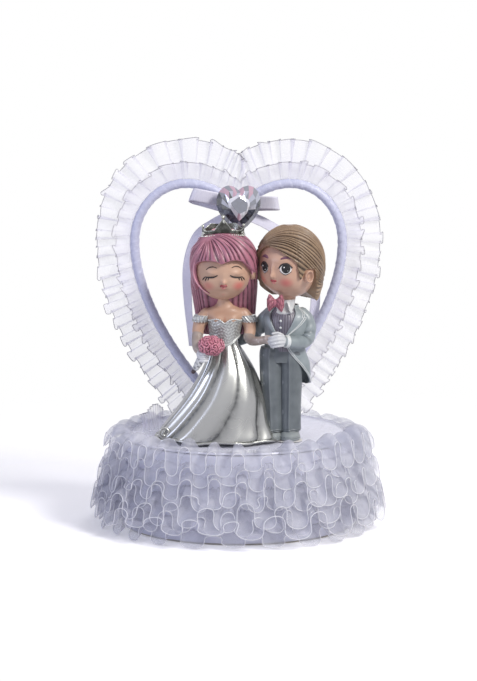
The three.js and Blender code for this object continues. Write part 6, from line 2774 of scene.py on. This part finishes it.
@dataclass
class Groom:
    """The groom, suit and all."""

    turn: float = math.radians(-36)
    head_centre: Place = (24.7, -21.0, 129.9)
    head_radii: Place = (14.8, 14.8, 16.0)
    eye_height: float = 129.1

    def head(self) -> None:
        """Head, open eyes, brows, lips and ear."""
        swells = (
            Swell(0.0, 125.9, 1.2, 1.3, 1.9),
            Swell(0.0, 128.4, 0.9, 2.6, 0.8),
            Swell(0.46, 129.1, 3.6, 2.9, -0.35),
            Swell(-0.37, 129.1, 3.4, 2.9, -0.35),
            Swell(-0.6, 122.6, 5.0, 4.4, 0.8),
            Swell(0.6, 122.6, 5.0, 4.4, 0.8),
            Swell(0.0, 122.8, 2.2, 1.5, 0.55),
            Swell(0.0, 119.0, 2.8, 1.8, 0.6),
            Swell(0.0, 133.2, 7.0, 1.6, 0.25),
        )
        centre, radii = self.head_centre, self.head_radii
        head = Head("groom_face", "groom_head", centre, radii, self.turn, Finishes.GROOM_SKIN, swells)
        head.make()
        for name, angle, wide in (("left", 0.46, 3.0), ("right", -0.37, 2.7)):
            z = self.eye_height
            part(f"groom_{name}_eye", [head.patch(angle, z, wide, 2.6, 0.35)], Finishes.EYE_WHITE)
            look = angle + 0.01
            part(f"groom_{name}_iris_rim", [head.patch(look, z + 0.2, 2.45, 2.4, 0.5)], Finishes.IRIS_RIM)
            part(f"groom_{name}_iris", [head.patch(look, z + 0.2, 2.25, 2.2, 0.6)], Finishes.IRIS)
            glints = [head.patch(look - 0.05, z + 0.9, 0.36, 0.36, 0.95)]
            glints.append(head.patch(look + 0.07, z - 0.6, 0.2, 0.2, 0.9))
            part(f"groom_{name}_eye_glints", glints, Finishes.GLINT)
            w = wide / 13.8
            lid = [
                (angle - w, z + 0.4), (angle - w * 0.55, z + 2.15), (angle + w * 0.3, z + 2.6),
                (angle + w * 1.02, z + 0.8)
            ]
            low = [(angle - w * 0.9, z - 0.9), (angle, z - 2.6), (angle + w * 0.9, z - 1.1)]
            lids = [head.stroke(lid, 0.44, 0.3, 0.7), head.stroke(low, 0.18, 0.12, 0.6)]
            part(f"groom_{name}_lids", lids, Finishes.LASH)
        lips = [head.patch(-0.05, 123.2, 1.0, 0.62, 0.35), head.patch(0.06, 123.2, 1.0, 0.62, 0.35)]
        part("groom_upper_lip", lips, Finishes.LIPS)
        part("groom_lower_lip", [head.patch(0.0, 122.2, 1.05, 0.6, 0.5)], Finishes.LOWER_LIP)
        brows = [
            head.stroke([(0.3, 133.9), (0.42, 134.5), (0.56, 134.6), (0.7, 134.1)], 0.62, 0.0, 0.5),
            head.stroke([(-0.2, 134.0), (-0.3, 134.5), (-0.42, 134.6), (-0.54, 134.1)], 0.75, 0.0, 0.5),
        ]
        part("groom_brows", brows, Finishes.GROOM_BROW)
        ear(head, "groom_ear", math.radians(71), 125.4, 5.2, 6.6)

    def hair(self) -> None:
        """The carved, side swept hair."""
        edge = [
            (-180, 113), (-140, 113.6), (-112, 118), (-100, 124), (-92, 129), (-84, 133), (-74, 136.5),
            (-62, 138.6), (-48, 139.6), (-27, 138.8), (-10, 136.4), (4, 134), (11, 131.8), (14, 127),
            (17, 123.6), (20, 125.6), (25, 128.4), (30, 129.4), (45, 129.2), (51, 124), (58, 117),
            (70, 113), (90, 112), (140, 112.2), (180, 113),
        ]
        Hair(
            "groom_hair_carved", "groom_hair", Finishes.HAIR_BROWN, (24.7, -20.2, 130.3),
            (16.4, 16.5, 17.9), edge, (10.6, 137.6), strands=62, depth=1.0, lock_depth=0.7, thickness=2.0,
            curl=0.25, seed=5, tuck=0.1,
        ).make()

    def suit(self) -> None:
        """Vest, its buttons, shirt collar, throat and bow tie."""
        vest = [
            (88.5, 21.6, -22, 8.4, 6.2), (92, 21.8, -22.2, 8.3, 6.3), (97, 22.4, -22.2, 8.9, 6.5),
            (102, 22.7, -22, 9.4, 6.5), (105, 22.7, -21.6, 9.0, 6.0), (107.4, 22.6, -21.3, 7.0, 5.0),
            (109, 22.5, -21.2, 5.0, 4.2),
        ]

        def stripes(t: Array, s: Array) -> Array:
            """Narrow woven stripes."""
            return ridges(t * 46 / TURN, 1.2)

        def closing(t: Array, s: Array) -> Array:
            """The front closing's overlap."""
            a = half_turn(t + math.pi / 2 + 0.25)
            return 0.12 * stripes(t, s) + 0.25 * smooth((a + 0.03) / 0.06) * bump(a, 0.0, 0.8)

        def gaps(t: Array, s: Array) -> Array:
            """Wash between the stripes."""
            return np.clip((1 - stripes(t, s)) * 0.9, 0, 1)

        body = loft(vest, 80, 200, relief=closing, groove=gaps)
        part("groom_vest_striped", [body], Finishes.VEST, "groom_vest")
        buttons = []
        for k in range(4):
            spot = (19.9 + 0.06 * k, -28.75 + 0.04 * k, 93.4 + 3.3 * k)
            buttons.append(ball(spot, (0.62, 0.4, 0.62), 18, 12))
        part("groom_vest_buttons", buttons, Finishes.PIPING)
        collar = [(105.4, 22.3, -22, 5.4, 5.2), (107.5, 22.3, -22, 4.9, 4.9)]
        collar += [(110, 22.5, -21.9, 4.5, 4.5), (113, 22.8, -21.6, 4.3, 4.3)]
        shirt = loft(collar, 30, 80, relief=lambda t, s: 0.5 * bump(s, 0.25, 0.12))
        wings = [
            [(20.4, -27.2, 112.3), (19.4, -28.3, 109.6), (20.4, -28.9, 107.8)],
            [(23.6, -27.0, 112.3), (24.6, -28.1, 109.8), (25.2, -28.3, 107.6)],
        ]
        wings = [sweep(spline(keys, 20), 0.85, 16, flat=0.4) for keys in wings]
        part("groom_shirt_collar", [shirt, *wings], Finishes.WHITE, "groom_collar")
        throat = loft([(110, 22.9, -21.4, 3.9, 3.9), (116, 23.6, -21.2, 4.1, 4.1)], 12, 60)
        part("groom_throat", [throat], Finishes.GROOM_SKIN)
        self.bow_tie()

    def bow_tie(self) -> None:
        """A full bow tie with small carved flowers."""
        middle = np.array([17.6, -31.2, 112.4])
        along = unit(np.array([1.0, -0.3, 0.0]))
        away = unit(np.array([-0.3, -1.0, 0.0]))
        lobes = []
        for sign in (-1, 1):
            v = np.linspace(0.02, 1, 34)[:, None]
            t = ring_angles(44)[None, :]
            reach = 4.2 * v
            tall = (1.9 + 2.3 * smooth(v * 1.3)) * (1 - 0.5 * smooth((v - 0.74) / 0.26))
            deep = (0.8 + 1.1 * np.sin(v * math.pi * 0.9)) * (1 - 0.7 * smooth((v - 0.8) / 0.2))
            pleat = 0.12 * np.cos(6 * t) * (1 - v)
            dots = np.abs(np.sin(4.2 * v * 4 + 0.8 * np.sin(3 * t))) * np.abs(np.sin(4 * t + 5 * v))
            x = sign * reach + 0 * t
            z = tall * np.sin(t)
            y = (deep + pleat) * np.cos(t) + 0.22 * dots * (np.cos(t) > -0.2)
            points = middle + along * x[..., None] + away * y[..., None] + UP * z[..., None]
            groove = np.clip(0.9 - 1.7 * dots, 0, 0.9)
            lobes.append(Surface(points, groove=groove, flip=sign > 0))
        knot = ball(middle + away * 0.5, (1.2, 1.2, 1.7), 30, 20)
        part("groom_floral_bow_tie", [*lobes, knot], Finishes.TIE, "groom_bow_tie")

    def arms(self) -> None:
        """Sleeves with creases at the elbow, and gloved hands."""
        keys = [(30.4, -20.8, 106.0), (32.6, -21.0, 102.6), (33.5, -22.2, 97.6)]
        keys += [(32.0, -25.2, 93.4), (27.6, -29.8, 93.2), (23.4, -32.4, 94.0)]
        left = limb(keys, [2.9, 3.6, 3.6, 3.4, 3.1, 2.9], 60, 90)
        keys = [(14.8, -20.4, 106.0), (12.4, -18.8, 102.4), (9.4, -15.2, 97.6)]
        keys += [(5.4, -11.8, 93.6), (0.6, -9.8, 91.2)]
        right = limb(keys, [2.9, 3.6, 3.5, 3.1, 2.8], 60, 90)
        for sleeve in (left, right):
            rows = np.linspace(0, 1, sleeve.points.shape[0])[:, None]
            t = ring_angles(60)[None, :]
            folds = 0.42 * np.sin(rows * 36 + 1.8 * np.sin(t)) * bump(rows, 0.55, 0.2)
            folds = folds * (0.65 + 0.35 * np.cos(t + 2))
            sleeve.relief(folds)
            # Painted shade in the hollows of the creases.
            sleeve.groove = np.clip(-folds * 2.0, 0, 0.7)
        part("groom_sleeve_left", [left], Finishes.SUIT, "groom_left_sleeve")
        part("groom_sleeve_right", [right], Finishes.SUIT, "groom_right_sleeve")
        cuff = sweep(spline([(23.6, -32.2, 94.0), (22.2, -33.0, 94.2)], 6), 3.05, 40, dome=False)
        part("groom_cuff_left", [cuff], Finishes.PIPING)
        hand = Hand(
            "groom_left_hand", (19.6, -34.0, 94.6), (3.3, 2.3, 2.9),
            [
                [(21.2, -34.9, 96.9), (18.8, -36.3, 97.3), (16.2, -36.3, 96.7), (14.6, -35.2, 95.9)],
                [(21.4, -35.4, 95.5), (18.8, -36.9, 95.7), (16.0, -36.8, 95.1), (14.4, -35.6, 94.5)],
                [(21.3, -35.4, 94.1), (18.8, -36.8, 94.1), (16.3, -36.6, 93.6), (14.9, -35.4, 93.2)],
                [(21.0, -35.0, 92.8), (18.9, -36.2, 92.6), (16.9, -36.0, 92.2), (15.7, -35.0, 92.0)],
                [(20.8, -33.4, 97.2), (18.6, -33.6, 98.2), (16.4, -34.2, 98.0)],
            ],
        )
        hand.make(0.24, "groom_left_glove")
        heights = (92.6, 91.3, 90.0, 88.8)
        fingers = [[(-1.0, -9.2, z), (-4.2, -9.0, z - 0.4), (-7.2, -10.2, z - 0.9)] for z in heights]
        back = Hand("groom_right_hand", (-2.4, -9.6, 90.6), (2.8, 1.8, 2.6), fingers, 0.8)
        back.make(0.28, "groom_right_glove")

    def legs(self) -> None:
        """Trousers with their creases, and shoes."""

        def leg(x: float, foot_x: float, crease: float) -> Surface:
            """One trouser leg.

            Args:
                x: Its middle across at the hip.
                foot_x: Its middle across at the hem.
                crease: Where its crease is, in radians from the front.

            Returns:
                The leg.
            """
            sections = [
                (49.3, foot_x, -22.4, 4.6, 5.2), (50.2, foot_x, -22.4, 5.35, 5.9),
                (53, foot_x, -22.3, 5.3, 5.7), (62, foot_x + (x - foot_x) * 0.4, -22.1, 5.25, 5.5),
                (75, x, -21.9, 5.6, 5.9), (86, x, -21.8, 5.9, 6.2), (90, x + 0.2, -21.8, 5.4, 6.0),
            ]

            def shape(t: Array, s: Array) -> Array:
                """Front crease and breaks over the shoe.

                Args:
                    t: Angles round it.
                    s: Shares of the way up.

                Returns:
                    The height of the carving.
                """
                a = half_turn(t + math.pi / 2 - crease)
                z = 49.3 + 40.7 * s
                breaks = 0.32 * np.sin(z * 1.7 + 1.2 * np.sin(t * 2)) * bump(z, 54, 3.2)
                pulls = 0.25 * np.sin(1.1 * z + 3 * a) * bump(z, 82, 5) * bump(a, 0.6, 0.8)
                return 0.6 * bump(a, 0.0, 0.13) + breaks + pulls - 0.22 * bump(z, 51.6, 0.25)

            def stitch_line_and_shade(t: Array, s: Array) -> Array:
                """Wash at the hem's stitch line, and painted shade in the breaks and over the shoe.

                Args:
                    t: Angles round it.
                    s: Shares of the way up.

                Returns:
                    The depth of the wash and the painted shade.
                """
                z = 49.3 + 40.7 * s
                dents = np.clip(-np.sin(z * 1.7 + 1.2 * np.sin(t * 2)), 0, 1) * bump(z, 54, 3.0)
                return np.clip(
                    0.8 * bump(z, 51.6, 0.3) + 0.5 * dents + 0.35 * (1 - smooth((z - 49) / 3)), 0, 1
                )

            return loft(sections, 130, 120, relief=shape, groove=stitch_line_and_shade)

        hips = loft(
            [(83, 20.3, -21.9, 9.2, 6.2), (87, 20.9, -21.9, 9.3, 6.4), (91.4, 21.5, -22, 8.7, 6.2)], 24, 120,
        )
        trousers = [leg(25.0, 24.7, -0.1), leg(15.9, 16.7, -0.2), hips]
        part("groom_trouser_legs", trousers, Finishes.TROUSERS, "groom_trousers")
        for name, x, y in (("left", 24.6, -23.8), ("right", 16.4, -22.6)):
            sections = [
                (45.4, x, y, 4.7, 6.9), (45.7, x, y, 5.1, 7.3), (46.6, x, y, 5.15, 7.35),
                (46.95, x, y, 4.85, 7.05), (47.5, x, y, 4.95, 7.15), (48.7, x, y + 0.5, 4.6, 6.3),
                (49.8, x, y + 1.2, 4.1, 5.0), (50.6, x, y + 1.6, 3.5, 4.0),
            ]
            shoe = loft(
                sections, 60, 100, groove=lambda t, s: np.clip(bump(s, 0.29, 0.03), 0, 1),
                relief=lambda t, s: -0.12 * bump(s, 0.62, 0.03),
            )
            part(f"groom_{name}_shoe_cast", [shoe], Finishes.SHOE, f"groom_{name}_shoe")

    def make(self) -> None:
        """Builds the groom."""
        self.head()
        self.hair()
        self.suit()
        Jacket().make()
        self.arms()
        self.legs()


def main() -> None:
    """Builds the topper and its studio."""
    Studio().make()
    Drum().make()
    BaseRuffles().make()
    arch = HeartArch()
    arch.tube()
    for name, side in (("left", -1), ("right", 1)):
        PleatedStrip(
            arch, f"arch_outer_pleats_{name}", f"arch_outer_ruffle_{name}", side, 19.0, 0.7, 1.0, 22,
            31 + side, first=0.4, lap=4.6 if side < 0 else -1.0,
        ).make()
        PleatedStrip(
            arch, f"arch_inner_pleats_{name}", f"arch_inner_ruffle_{name}", side, 9.6, -0.7, -1.7, 22,
            41 + side, depth=0.9, line=0.15, first=1.0, wound=5, lap=2.4 if side < 0 else 0.0,
        ).make()
    LooseEnd().make()
    SatinBow().make()
    HeartGem().make()
    Bride().make()
    Groom().make()


if __name__ == "__main__":
    logging.basicConfig(level=logging.INFO, format="%(message)s")
    main()
